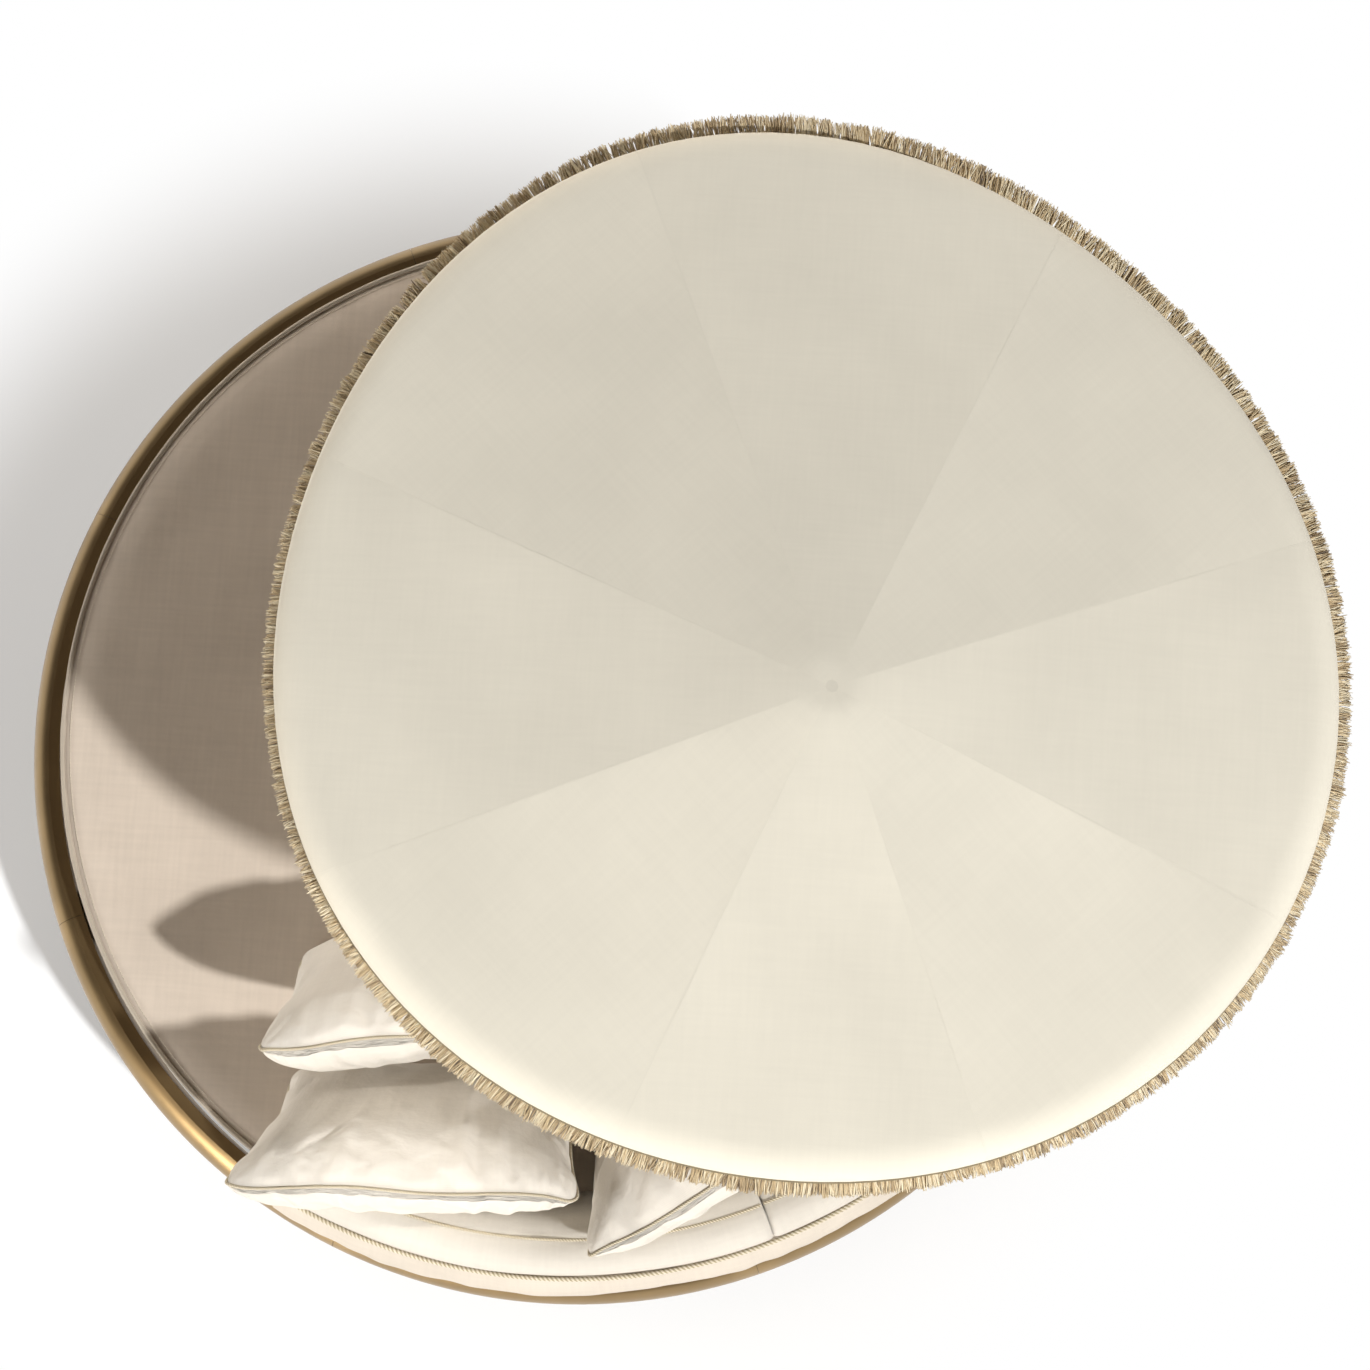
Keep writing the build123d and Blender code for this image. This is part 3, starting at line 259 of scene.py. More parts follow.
def rope(name, path, radius, pitch, closed, up=UP):
    """A laid rope along a path: strands that wind round each other, pale and olive in turn."""
    points, spacing = spaced(path, pitch * ROPE_STEP, closed)
    count, sections = len(points), ROPE_SECTIONS
    tangents = directions(points, closed)
    side = unit(np.cross(np.broadcast_to(up, points.shape), tangents))
    other = np.cross(tangents, side)
    turns = max(1, round(spacing * count / pitch))
    along = np.arange(count) * tau * turns / count
    cap = np.array([(0, step, step + 1, step + 2) for step in range(1, sections - 2, 2)])
    verts, faces, tones = [], [], []
    for strand in range(ROPE_STRANDS):
        angle = along + tau * strand / ROPE_STRANDS
        out = np.cos(angle)[:, None] * side + np.sin(angle)[:, None] * other
        line = points + out * radius * 0.54
        rings = tube_points(line, directions(line, closed), out, radius * 0.46, sections)
        quads = grid_faces(count, sections, closed)
        if not closed:
            quads = np.vstack([quads, cap, (count - 1) * sections + cap[:, ::-1]])
        verts.append(rings.reshape(-1, 3))
        faces.append(quads + count * sections * strand)
        tones.append(np.full(len(quads), strand % 2))
    looks = [rope_pale, rope_olive]
    return mesh_piece(name, np.vstack(verts), np.vstack(faces), looks, BASE, tones=np.concatenate(tones))


def cord(name, path):
    """A plain fabric-covered cord along a closed path."""
    points, _ = spaced(path, CORD_STEP, True)
    tangents = directions(points, True)
    side = np.cross(np.broadcast_to(UP, points.shape), tangents)
    thickness = CORD_RADIUS * (1 + 0.05 * swell(points, 0.03, 11))
    rings = tube_points(points, tangents, side, thickness, CORD_SECTIONS)
    piece = mesh_piece(name, rings, grid_faces(len(points), CORD_SECTIONS, True), cord_linen, BASE)
    along = np.repeat(np.arange(len(points)) * CORD_STEP, CORD_SECTIONS)
    around = np.tile(np.arange(CORD_SECTIONS) / CORD_SECTIONS * tau * CORD_RADIUS, len(points))
    store(piece, "cloth", np.c_[along, around, 0 * along])
    return piece


def stitches(name, path, normals, closed, body, radius=THREAD_RADIUS):
    """Short threads along a path, each a little raised bar."""
    points, _ = spaced(path, STITCH_GAP + STITCH_LENGTH, closed)
    tangents = directions(points, closed)
    nearest = np.linspace(0, len(path) - 1, len(points)).round().astype(int)
    up = unit(normals[nearest])
    side = unit(np.cross(up, tangents))
    along = np.repeat([-0.5, -0.3, 0.3, 0.5], 4) * STITCH_LENGTH
    lift = np.repeat([-0.8, 0.55, 0.55, -0.8], 4)
    aside, rise = np.tile([(1, 0.5, -0.5, -1), (-0.4, 0.9, 0.9, -0.4)], 4)
    local = np.c_[along, aside * radius, (lift + rise) * radius]
    verts = points[:, None] + local @ np.stack([tangents, side, up], 1)
    one = np.vstack([grid_faces(4, 4), [[0, 1, 2, 3], [15, 14, 13, 12]]])
    faces = (one + 16 * np.arange(len(points))[:, None, None]).reshape(-1, 4)
    return mesh_piece(name, verts, faces, thread_look, body)


# ---- materials
class Look:
    """A material and its nodes."""

    def __init__(self, name, roughness, metallic=0.0, **constants):
        self.material = bpy.data.materials.new(name)
        self.material.use_nodes = True
        self.tree = self.material.node_tree
        self.shader = self.tree.nodes["Principled BSDF"]
        constants.update(Roughness=roughness, Metallic=metallic)
        for socket, value in constants.items():
            self.shader.inputs[socket.replace("_", " ")].default_value = value

    def node(self, kind, inputs=None, **settings):
        made = configured(self.tree.nodes.new("ShaderNode" + kind), **settings)
        for key, value in (inputs or {}).items():
            if isinstance(value, bpy.types.NodeSocket):
                self.tree.links.new(value, made.inputs[key])
            else:
                colour = made.inputs[key].type == "RGBA"
                made.inputs[key].default_value = (*value, 1) if colour else value
        return made

    def maths(self, operation, first, second):
        return self.node("Math", {0: first, 1: second}, operation=operation).outputs[0]

    def mean(self, first, second):
        return self.maths("MULTIPLY", self.maths("ADD", first, second), 0.5)

    def noise(self, vector, scale, detail=3.0, stretch=(1, 1, 1), roughness=0.5):
        if stretch != (1, 1, 1):
            vector = self.node("Mapping", {"Vector": vector, "Scale": stretch}).outputs[0]
        inputs = {"Vector": vector, "Scale": scale, "Detail": detail, "Roughness": roughness}
        return self.node("TexNoise", inputs).outputs["Fac"]

    def ramp(self, factor, stops):
        made = self.node("ValToRGB", {"Fac": factor})
        elements = made.color_ramp.elements
        while len(elements) < len(stops):
            elements.new(0.5)
        for element, (place, *colour) in zip(elements, stops):
            element.position = place
            element.color = (*(colour * 3)[:3], 1)
        return made.outputs["Color"]

    def mix(self, factor, first, second, blend="MIX"):
        inputs = {"Factor": factor, 6: first, 7: second}
        return self.node("Mix", inputs, data_type="RGBA", blend_type=blend).outputs[2]

    def place(self):
        return self.node("TexCoord").outputs["Object"]

    def drive(self, name, socket):
        self.tree.links.new(socket, self.shader.inputs[name])

    def bump(self, height, distance):
        inputs = {"Height": height, "Distance": distance, "Strength": 1.0}
        earlier = self.shader.inputs["Normal"].links
        if earlier:
            inputs["Normal"] = earlier[0].from_socket
        self.drive("Normal", self.node("Bump", inputs).outputs[0])


def shade_of(colour, share):
    """A colour made darker or lighter by a share."""
    return tuple(min(1.0, channel * share) for channel in colour)


def woven(name, colour, thread, tint=0.05, slub=0.05, sheen=0.12, soft=0.0006, crumple=0.0):
    """Plain-woven cloth with uneven yarns, faint clouding and fine creases."""
    look = Look(name, 0.92, Sheen_Weight=sheen, Sheen_Roughness=0.6, Specular_IOR_Level=0.1)
    cloth = look.node("Attribute", attribute_name="cloth").outputs["Vector"]
    band_scale = tau / 20 / thread  # one band of the wave texture to a thread
    wave = {"Vector": cloth, "Scale": band_scale, "Distortion": 1.2, "Detail": 2.0, "Detail Scale": 0.6}
    waves = [look.node("TexWave", wave, bands_direction=way).outputs["Fac"] for way in "XY"]
    weave = look.maths("MAXIMUM", *waves)
    ways = ((1, 0.06, 1), (0.06, 1, 1))
    yarns = look.mean(*(look.noise(cloth, 1 / thread / 6, 2.0, way) for way in ways))
    tone = look.mix(yarns, shade_of(colour, 1 - slub * 2), shade_of(colour, 1 + slub * 2))
    tone = look.mix(0.45, tone, look.ramp(weave, [(0.0, 0.8), (0.75, 1.0)]), "MULTIPLY")
    clouding = look.ramp(look.noise(cloth, 4.0, 4.0), [(0.3, 1 - tint * 2), (0.7, 1.0)])
    look.drive("Base Color", look.mix(1.0, tone, clouding, "MULTIPLY"))
    if crumple:
        look.bump(look.noise(cloth, 9.0, 5.0, roughness=0.55), crumple)
    look.bump(look.noise(cloth, 38.0, 4.0), soft)
    look.bump(yarns, 0.00012 * 1.4)
    look.bump(weave, 0.00012)
    return look.material


def strand_look(name, colour, dark):
    """One strand of a laid rope: fine fibres along it."""
    look = Look(name, 0.85, Sheen_Weight=0.2, Sheen_Roughness=0.4, Specular_IOR_Level=0.2)
    place = look.place()
    fibre = look.noise(place, 900.0, 3.0)
    look.drive("Base Color", look.mix(look.mean(fibre, look.noise(place, 25.0, 3.0)), dark, colour))
    look.bump(fibre, 0.0004)
    return look.material


def coated_metal(name, colour, roughness, wear, metallic=1.0):
    """Satin metal finish with a fine mottle, faint rubbing and paler edges."""
    look = Look(name, roughness, metallic=metallic, Specular_IOR_Level=0.5)
    place = look.place()
    mottle = look.noise(place, 14.0, 5.0)
    mottled = look.ramp(mottle, [(0.35, 0.0), (0.7, 1.0)])
    tone = look.mix(mottled, shade_of(colour, 0.93), shade_of(colour, 1.05))
    edge = look.node("NewGeometry").outputs["Pointiness"]
    rubbed = look.maths("ADD", edge, look.maths("MULTIPLY", mottle, 0.02))
    rubbed = look.maths("MULTIPLY", look.ramp(rubbed, [(0.52, 0.0), (0.56, 1.0)]), wear)
    look.drive("Base Color", look.mix(rubbed, tone, shade_of(colour, 1.5)))
    spread = {"Value": look.noise(place, 6.0, 4.0), "To Min": roughness - 0.05, "To Max": roughness + 0.08}
    look.drive("Roughness", look.node("MapRange", spread).outputs[0])
    look.bump(look.noise(place, 900.0, 2.0), 0.00004)
    return look.material


def plain_board(name, colour, roughness, grain_stretch=(1, 1, 1)):
    """Board with a faint grain and scuffs."""
    look = Look(name, roughness, Specular_IOR_Level=0.35)
    place = look.place()
    grain = look.noise(place, 30.0, 6.0, grain_stretch)
    both = look.mean(grain, look.noise(place, 8.0, 6.0))
    look.drive("Base Color", look.mix(both, shade_of(colour, 0.75), shade_of(colour, 1.3)))
    look.bump(grain, 0.0003)
    return look.material


def straw(name):
    """Straw bunches: each strand has its own tone, stored on the mesh, which also carries painted shade."""
    look = Look(name, 0.72, Sheen_Weight=0.15, Sheen_Roughness=0.4, Specular_IOR_Level=0.3)
    tone = look.node("Attribute", attribute_name="tone").outputs["Fac"]
    fibre = look.noise(look.place(), 500.0, 2.0)
    stops = [
        (0.05, 0.085, 0.062, 0.04),
        (0.3, 0.23, 0.175, 0.125),
        (0.55, 0.46, 0.345, 0.205),
        (0.8, 0.68, 0.545, 0.34),
        (1.0, 0.84, 0.75, 0.56),
    ]
    both = look.maths("ADD", tone, look.maths("MULTIPLY", fibre, 0.12))
    look.drive("Base Color", look.ramp(both, stops))
    return look.material


WASHED = {"tint": 0.04, "slub": 0.035}
linen_mattress = woven("mattress_linen", (0.695, 0.605, 0.515), 0.0016, slub=0.06, crumple=0.0016)
linen_back = woven("back_linen", (0.7, 0.635, 0.55), 0.0015)
linen_white = woven("white_linen", (0.8, 0.755, 0.685), 0.0014, soft=0.0012, crumple=0.008, **WASHED)
linen_cushion = woven("cushion_linen", (0.705, 0.665, 0.6), 0.0014, soft=0.001, crumple=0.0045, **WASHED)
canvas = woven("canopy_canvas", (0.895, 0.855, 0.74), 0.0011, tint=0.03, slub=0.02, sheen=0.15, soft=0.0002)
cord_linen = woven("cord_linen", (0.52, 0.46, 0.38), 0.0011)
rope_pale = strand_look("rope_pale", (0.86, 0.8, 0.67), (0.66, 0.59, 0.46))
rope_olive = strand_look("rope_olive", (0.56, 0.48, 0.32), (0.34, 0.28, 0.18))
# The tape's dark olive is partly its own colour and partly painted shade for the gap under the hem.
tape_olive = strand_look("tape_olive", (0.3, 0.25, 0.15), (0.16, 0.13, 0.08))
thread_look = strand_look("sewing_thread", (0.8, 0.74, 0.62), (0.62, 0.56, 0.45))
straw_look = straw("straw_strands")

looks_by_slot = {
    "bronze": coated_metal("satin_bronze", (0.385, 0.265, 0.13), 0.34, 0.3),
    "frame_steel": coated_metal("frame_coat", (0.055, 0.05, 0.045), 0.5, 0.25, metallic=0.0),
    "bolt_steel": coated_metal("stainless", (0.6, 0.585, 0.56), 0.28, 0.2),
    "glide": plain_board("glide_nylon", (0.03, 0.03, 0.03), 0.5),
    "deck": plain_board("deck_board", (0.1, 0.09, 0.08), 0.6),
    "board": plain_board("bent_ply", (0.5, 0.36, 0.21), 0.6, (0.12, 0.12, 1)),
    "canopy_frame": coated_metal("anodised_bronze", (0.45, 0.34, 0.2), 0.32, 0.3),
}
for row in frame["record"]["subparts"]:
    look = looks_by_slot.get(row["material_slot"])
    if look is not None:
        node_mesh = frame["nodes"][row["node"]].data
        node_mesh.materials.clear()
        node_mesh.materials.append(look)


# ---- mattress
def mattress():
    """The crowned pad, with a gentle swell on top and puckers along its edge."""
    around, sag = 480, 0.0016
    crown = [(MATTRESS_RADIUS * share, MATTRESS_TOP) for share in (0.0, 0.2, 0.4, 0.6, 0.76, 0.84)]
    crown += [(0.94, 0.4405), (0.975, 0.4375), (1.000, 0.4325), (1.012, 0.4285), (1.0165, 0.4235)]
    side = [crown[-1], (1.0185, 0.405), (1.0145, 0.38), (1.012, 0.349), (1.0145, 0.32), (1.0185, 0.294)]
    side.append((1.0165, 0.2755))
    under = [side[-1]] + [(reach, MATTRESS_LOW) for reach in (1.008, 0.95, 0.5, 0.0)]
    curves = [curve_through(crown, 90)[1:], curve_through(side, 26)[1:], curve_through(under, 14)[1:-1]]
    profile = np.vstack(curves)
    reach, height = profile.T
    turn = np.linspace(0, tau, around, endpoint=False)
    flat = polar(reach[:, None], turn, height[:, None]).reshape(-1, 3)
    bearing = polar(1.0, np.tile(turn, len(reach)), 0.0)[:, :2]
    on_top = height > 0.426
    on_side = (height < 0.424) & (height > 0.276)
    near_edge = np.clip((reach - 0.9) / 0.1, 0, 1) * on_top
    off_seam = np.clip((1.012 - reach) / 0.05, 0, 1)
    on_top, on_side, near_edge, off_seam = np.repeat([on_top, on_side, near_edge, off_seam], around, 1)
    flat[:, 2] += on_top * (sag * swell(flat[:, :2], 0.3, 3) - sag) * (1 - 0.6 * near_edge)
    flat[:, 2] += 0.0011 * (swell(bearing, 0.045, 5) * near_edge * off_seam)
    flat[:, :2] *= (1 + on_side * 0.0012 * swell(np.c_[bearing, flat[:, 2] * 3], 0.12, 6))[:, None]
    ring = np.arange(around)
    tops = fan_faces(len(flat), ring)
    lows = fan_faces(len(flat) + 1, (len(reach) - 1) * around + ring)[:, [0, 3, 2, 1]]
    faces = np.vstack([grid_faces(len(reach), around), tops, lows])[:, ::-1]
    flat = np.vstack([flat, [[0, 0, MATTRESS_TOP - sag], [0, 0, MATTRESS_LOW]]])
    piece = mesh_piece("mattress_pad", flat, faces, linen_mattress, BASE)
    run = np.r_[np.repeat(run_along(profile), around), 0, 0]
    beside = np.abs(flat[:, 2:] - 0.35) < 0.074
    angle = np.arctan2(flat[:, 1], flat[:, 0])
    store(piece, "cloth", np.c_[np.where(beside, np.c_[angle * MATTRESS_RADIUS, run], flat[:, :2]), 0 * run])
    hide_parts("mattress")


mattress()
corner_cut, corner_out = 0.003, CORD_STANDOFF / sqrt(2)
corner = circle_path(MATTRESS_RADIUS - corner_cut + corner_out, MATTRESS_EDGE - corner_cut + corner_out)
edge_cord = cord("mattress_cord_top", corner)
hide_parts("mattress_piping")
low_cord = cord("mattress_cord_low", circle_path(MATTRESS_RADIUS + CORD_STANDOFF, 0.276))
edge_line = circle_path(1.0045, 0.4326, count=1440)
edge_up = np.broadcast_to((0.15, 0.15, 1.0), edge_line.shape)
edge_stitch = stitches("mattress_stitch", edge_line, edge_up, True, BASE)


# ---- backrest
def backrest():
    """The curved cover over the board, open underneath, with a padded outside and soft ends."""
    steps, end_gap, end_round = 700, 0.0006, 0.003
    shoulder = BACK_TOP - ROPE_RADIUS
    edge, half_height = (BACK_TOP_SHOULDER, shoulder), (BACK_FOOT + BACK_TOP) / 2
    outer = arc_points((BACK_SHOULDER, BACK_FOOT + 0.012), (BACK_BULGE, half_height), edge, 34)
    top = arc_points(edge, ((BACK_TOP_SHOULDER + BACK_INNER) / 2, BACK_TOP), (BACK_INNER, shoulder), 8)
    inner = [(BACK_INNER, height) for height in (0.6, 0.52, 0.46)] + [(BACK_INNER + 0.003, BACK_INNER_FOOT)]
    cavity = [(1.03, BACK_INNER_FOOT), (1.0305, 0.47), (1.0305, 0.6205), (1.0525, 0.6205), (1.0525, 0.4)]
    cavity += [(1.0525, BACK_FOOT + 0.002), (1.0545, BACK_FOOT), (1.0585, BACK_FOOT + 0.003)]
    profile = np.vstack([outer, top[1:], inner, cavity])
    turn = BACK_START + np.linspace(end_gap, BACK_ARC - end_gap, steps)
    points = polar(profile[:, 0], turn[:, None], profile[:, 1])
    shape = points.shape[:2]
    outside = np.arange(len(profile)) < len(outer) + len(top) - 2
    where = np.stack([np.broadcast_to(turn[:, None], shape), points[..., 2]], -1).reshape(-1, 2)
    puff = 0.0016 * swell(where * (BACK_MEAN, 1.0), 0.16, 21)
    puff += 0.0007 * swell(where * (BACK_MEAN, 0.4), 0.035, 22)
    puff = puff.reshape(shape) * outside
    points[..., :2] *= (1 + puff / BACK_MEAN - 0.0012 * outside)[..., None]
    caps, cap_faces = [], []
    ring = np.arange(len(outer) + len(top) + 3)
    base = points.size // 3
    for end, way in ((0, -1), (steps - 1, 1)):
        rim = points[end][ring]
        centre = rim.mean(0)
        heading = np.array((-sin(turn[end]), cos(turn[end]), 0)) * way
        layers = [rim - heading * end_round]
        for share, lift in ((0.97, 0.0018), (0.85, 0.0026), (0.5, 0.003), (0.12, 0.003)):
            layers.append(centre + (rim - centre) * share - heading * (end_round - lift))
        quads = grid_faces(len(layers), len(ring)) + base
        middle = base + len(layers) * len(ring)
        fan = fan_faces(middle, middle - len(ring) + ring)
        caps += [*layers, centre[None]]
        cap_faces += [quads, fan[:, ::-1]] if way > 0 else [quads[:, ::-1], fan]
        base = middle + 1
    every = np.vstack([points.reshape(-1, 3), *caps])
    faces = np.vstack([grid_faces(steps, len(profile)), *cap_faces])
    piece = mesh_piece("backrest_upholstery", every, faces, linen_back, BASE)
    x, y, z = every.T
    store(piece, "cloth", np.c_[np.arctan2(y, x) * BACK_MEAN, z + np.hypot(x, y), 0 * z])
    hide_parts("backrest_cover")


backrest()
rope_rise, rope_out = radians(35), ROPE_RADIUS + 0.0003
rope_reach = BACK_TOP_SHOULDER + rope_out * cos(rope_rise)
rope_height = BACK_TOP - ROPE_RADIUS + rope_out * sin(rope_rise)
rope_path = circle_path(rope_reach, rope_height, BACK_START + 0.002, BACK_ARC - 0.004)
back_rope = rope("backrest_rope", rope_path, ROPE_RADIUS, 0.017, False)
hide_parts("backrest_piping")


# ---- back cushions
FRONT_POINTS = 34


def cushion_section():
    """Section of a back cushion, from its foot up the front, over the top and down the back."""
    foot_reach, foot = CUSHION_FOOT
    waypoints = [CUSHION_FOOT, (0.8885, 0.505), (0.896, 0.572), (0.9085, 0.634), (0.927, 0.679)]
    waypoints += [(0.9525, 0.706), CUSHION_SEAM]
    front, _ = spaced(np.c_[curve_through(waypoints, 160), np.zeros(160)], 0.34 / (FRONT_POINTS - 1), False)
    place, places = np.linspace(0, 1, FRONT_POINTS), np.linspace(0, 1, len(front))
    front = np.stack([np.interp(place, places, front[:, axis]) for axis in (0, 1)], 1)
    rim, low_rim = (BACK_TOP_SHOULDER, 0.6662), (CUSHION_BACK, 0.6562)
    over = ((rim[0] + CUSHION_SEAM[0]) / 2, CUSHION_SEAM[1] + 0.0025)
    top = arc_points(CUSHION_SEAM, over, rim, FRONT_POINTS // 2)
    low = arc_points(rim, ((CUSHION_BACK + rim[0]) / 2, 0.6587), low_rim, 6)
    back = np.linspace(low_rim, (CUSHION_BACK, 0.4445), 16)
    base = np.linspace((1.0155, foot), (foot_reach + 0.004, foot), 14)
    return np.vstack([front, top[1:], low[1:], back[1:], base])


section = cushion_section()


def back_cushion(number, seed):
    """One segment of the back cushion, rounded at its ends, with gathers at its seam and a rope on it."""
    steps, count, gap = 150, len(section), 0.0004
    arc = BACK_ARC / CUSHIONS
    start = BACK_START + arc * number + gap
    arc -= 2 * gap
    place = np.linspace(0, 1, steps)
    place = place - 0.13 * np.sin(place * tau)
    near = np.minimum(place, 1 - place) * arc * CUSHION_MEAN
    keep = np.clip(near / 0.02, 0, 1)
    keep = 0.93 + 0.07 * (1 - (1 - keep) ** 2.4) ** (1 / 2.4)
    turn = start + place * arc
    centre = np.array((0.962, 0.565))
    shaped = centre + (section - centre) * keep[:, None, None]
    shape = shaped.shape[:2]
    where = np.stack(np.broadcast_arrays(turn[:, None], np.linspace(0, 1, count)), -1).reshape(-1, 2)
    index, seam = np.arange(count), FRONT_POINTS - 1
    seam_near = np.exp(-np.abs(index - seam) / 7.0) * (index != seam)
    gathers = swell(where[:, :1], 0.045, seed).reshape(shape) * seam_near
    broad = swell(where * (CUSHION_MEAN, 0.9), 0.22, seed + 1).reshape(shape)
    face = (index > 2) & (index < FRONT_POINTS + 17)
    lift = (0.003 * gathers + 0.0035 * broad - 0.003) * face
    reach, height = np.moveaxis(shaped + lift[..., None] * unit(section - centre), -1, 0)
    points = polar(reach, turn[:, None], height)
    flat = points.reshape(-1, 3)
    rings = [end * count + index for end in (0, steps - 1)]
    first, last = (fan_faces(len(flat) + end, ring) for end, ring in enumerate(rings))
    faces = np.vstack([grid_faces(steps, count), first[:, ::-1], last])[:, ::-1]
    every = np.vstack([flat, [flat[ring].mean(0) for ring in rings]])
    piece = mesh_piece(f"back_cushion_pad_{number + 1}", every, faces, linen_cushion, BASE)
    cloth = np.broadcast_arrays(turn[:, None] * CUSHION_MEAN, run_along(section), number * 3.1)
    cloth = np.stack(cloth, -1).reshape(-1, 3)
    store(piece, "cloth", np.vstack([cloth, cloth[:2]]))
    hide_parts(f"back_cushion_{number + 1}")
    line = points[:, seam]
    line = line + unit(line - polar(0.95, turn, 0.6)) * 0.0014
    trim = rope(f"back_cushion_rope_{number + 1}", line[3:-3], 0.0032, 0.012, False)


for number in range(CUSHIONS):
    back_cushion(number, 40 + 5 * number)


# ---- scatter pillows
COLUMNS = 108
ROWS = 76
PILLOW_DRAW = 0.03  # how far the middle of a side draws in
PILLOW_TUCK = 0.045  # how much narrower the lower side is at each end
FOLD_DEPTH = 1.5
STIFFNESS = {"tension": 30, "compression": 30, "shear": 12, "bending": 0.3}

# Both sides of a pillow's cloth, joined along the border: border coordinates and grids of point numbers
u, v = np.meshgrid(np.linspace(-1, 1, COLUMNS + 1), np.linspace(-1, 1, ROWS + 1))
inside = np.zeros(u.shape, bool)
inside[1:-1, 1:-1] = True
front = np.arange(u.size).reshape(u.shape)
back = front.copy()
back[inside] = u.size + np.arange(inside.sum())
pillow_points = back.max() + 1
front_faces = grid_faces(*u.shape, wrap_columns=False)
pillow_faces = np.vstack([front_faces[:, ::-1], back.ravel()[front_faces]])


def joined(front_points, back_points):
    """Points of a pillow from the two grids of its sides."""
    points = np.zeros((pillow_points, front_points.shape[-1]))
    points[front] = front_points
    points[back[inside]] = back_points[inside]
    return points


def plain_form():
    """A well filled pillow's form, worked out directly."""
    a, b = (side + 0.45 * np.sin(pi * side) / pi for side in (u, v))
    z = PILLOW_THICKNESS / 2 * ((1 - np.abs(a) ** 4.2) * (1 - np.abs(b) ** 4.2)).clip(0) ** 0.556
    most = np.maximum(np.maximum(np.abs(a), np.abs(b)), 1e-6)
    round_off = np.maximum(np.abs(a / most) ** 13 + np.abs(b / most) ** 13, 1.0) ** (-1 / 13)
    round_off = 1 + (round_off - 1) * most**5
    a, b = a * round_off, b * round_off
    half = PILLOW_LENGTH / 2 * 1.02 - PILLOW_TUCK * (1 + b) / 2
    x = a * (half - PILLOW_DRAW * (1 - b**2))
    y = b * (PILLOW_DEPTH / 2 * 1.02 - PILLOW_DRAW * (1 - a**2))
    shape = np.stack([x, y, z], -1)
    return joined(shape, shape * (1, 1, -1))


def blurred(grid, passes):
    """A grid of points smoothed along both ways, with its border kept."""
    grid = grid.copy()
    for _ in range(passes):
        inner = (grid[:-2, 1:-1] + grid[2:, 1:-1] + grid[1:-1, :-2] + grid[1:-1, 2:]) / 4
        grid[1:-1, 1:-1] = (grid[1:-1, 1:-1] + inner) / 2
    return grid


def blown_form(seed):
    """A pillow's form: the creases of a sewn cloth blown up with air, on a well filled pillow."""
    cut_length, cut_depth, rise = 0.7, 0.51, 0.03
    bulge = rise * ((1 - u**2) * (1 - v**2)) ** 0.5
    wide = 1 + 0.05 * (1 - v**2)
    deep = 1 + 0.07 * (1 - u**2)
    ripple = 0.004 * swell(np.c_[u.ravel(), v.ravel()], 0.35, seed).reshape(u.shape) * (bulge / rise)
    flat = np.stack([u * wide * cut_length / 2, v * deep * cut_depth / 2, ripple], -1)
    puffed = bulge[..., None] * UP
    blank = mesh_piece(f"pillow_sim_{seed}", joined(flat + puffed, flat - puffed), pillow_faces, [], None)
    modifier = blank.modifiers.new("Cloth", "CLOTH")
    configured(modifier.settings, quality=6, mass=0.2, air_damping=2.0)
    configured(modifier.settings, **{f"{way}_stiffness": value for way, value in STIFFNESS.items()})
    configured(modifier.settings, use_pressure=True, uniform_pressure_force=4.5)
    modifier.settings.effector_weights.gravity = 0
    configured(modifier.point_cache, frame_start=1, frame_end=30)
    modifier.collision_settings.use_collision = False
    for step in range(1, 29):
        scene.frame_set(step)
    shaped = blank.evaluated_get(bpy.context.evaluated_depsgraph_get()).to_mesh()
    points = np.zeros(pillow_points * 3)
    shaped.vertices.foreach_get("co", points)
    points = points.reshape(-1, 3)
    bpy.data.objects.remove(blank)
    scene.frame_set(1)
    points -= points.mean(0)
    points *= PILLOW_THICKNESS / np.ptp(points[:, 2])
    form = plain_form()
    for side in (front, back):
        crease = points[side] - blurred(points[side], 90)
        size = np.linalg.norm(crease, axis=-1, keepdims=True)
        crease *= 1.25 / (1 + size / 0.01)
        form[side[1:-1, 1:-1]] += crease[1:-1, 1:-1]
    return form


def pillow_frame(corner, bearing, rise, lean):
    """Centre and axes of a pillow from its upper left corner and its turns in degrees."""
    bearing, rise, lean = (radians(a) for a in (bearing, rise, lean))
    along = polar(cos(rise), bearing, sin(rise))
    level = np.array((-sin(bearing), cos(bearing), 0.0))
    down = level * cos(lean) - np.cross(along, level) * sin(lean)
    centre = np.array(corner) + along * PILLOW_LENGTH / 2 + down * PILLOW_DEPTH / 2
    return centre, np.stack([along, down, np.cross(along, down)])


def pressed(points):
    """Moves points out of the mattress and the back cushions."""
    x, y, z = points.T
    reach = np.hypot(x, y)
    inside_arc = ((np.arctan2(y, x) - BACK_START + 0.02) % tau) < BACK_ARC + 0.04
    wall = np.interp(z, section[:FRONT_POINTS, 1], section[:FRONT_POINTS, 0]) - 0.002
    into = inside_arc & (z < CUSHION_SEAM[1] + 0.004) & (reach > wall)
    points[into, :2] *= (wall[into] / reach[into])[:, None]
    points[:, 2] = np.maximum(z, MATTRESS_TOP + 0.001)
    return points


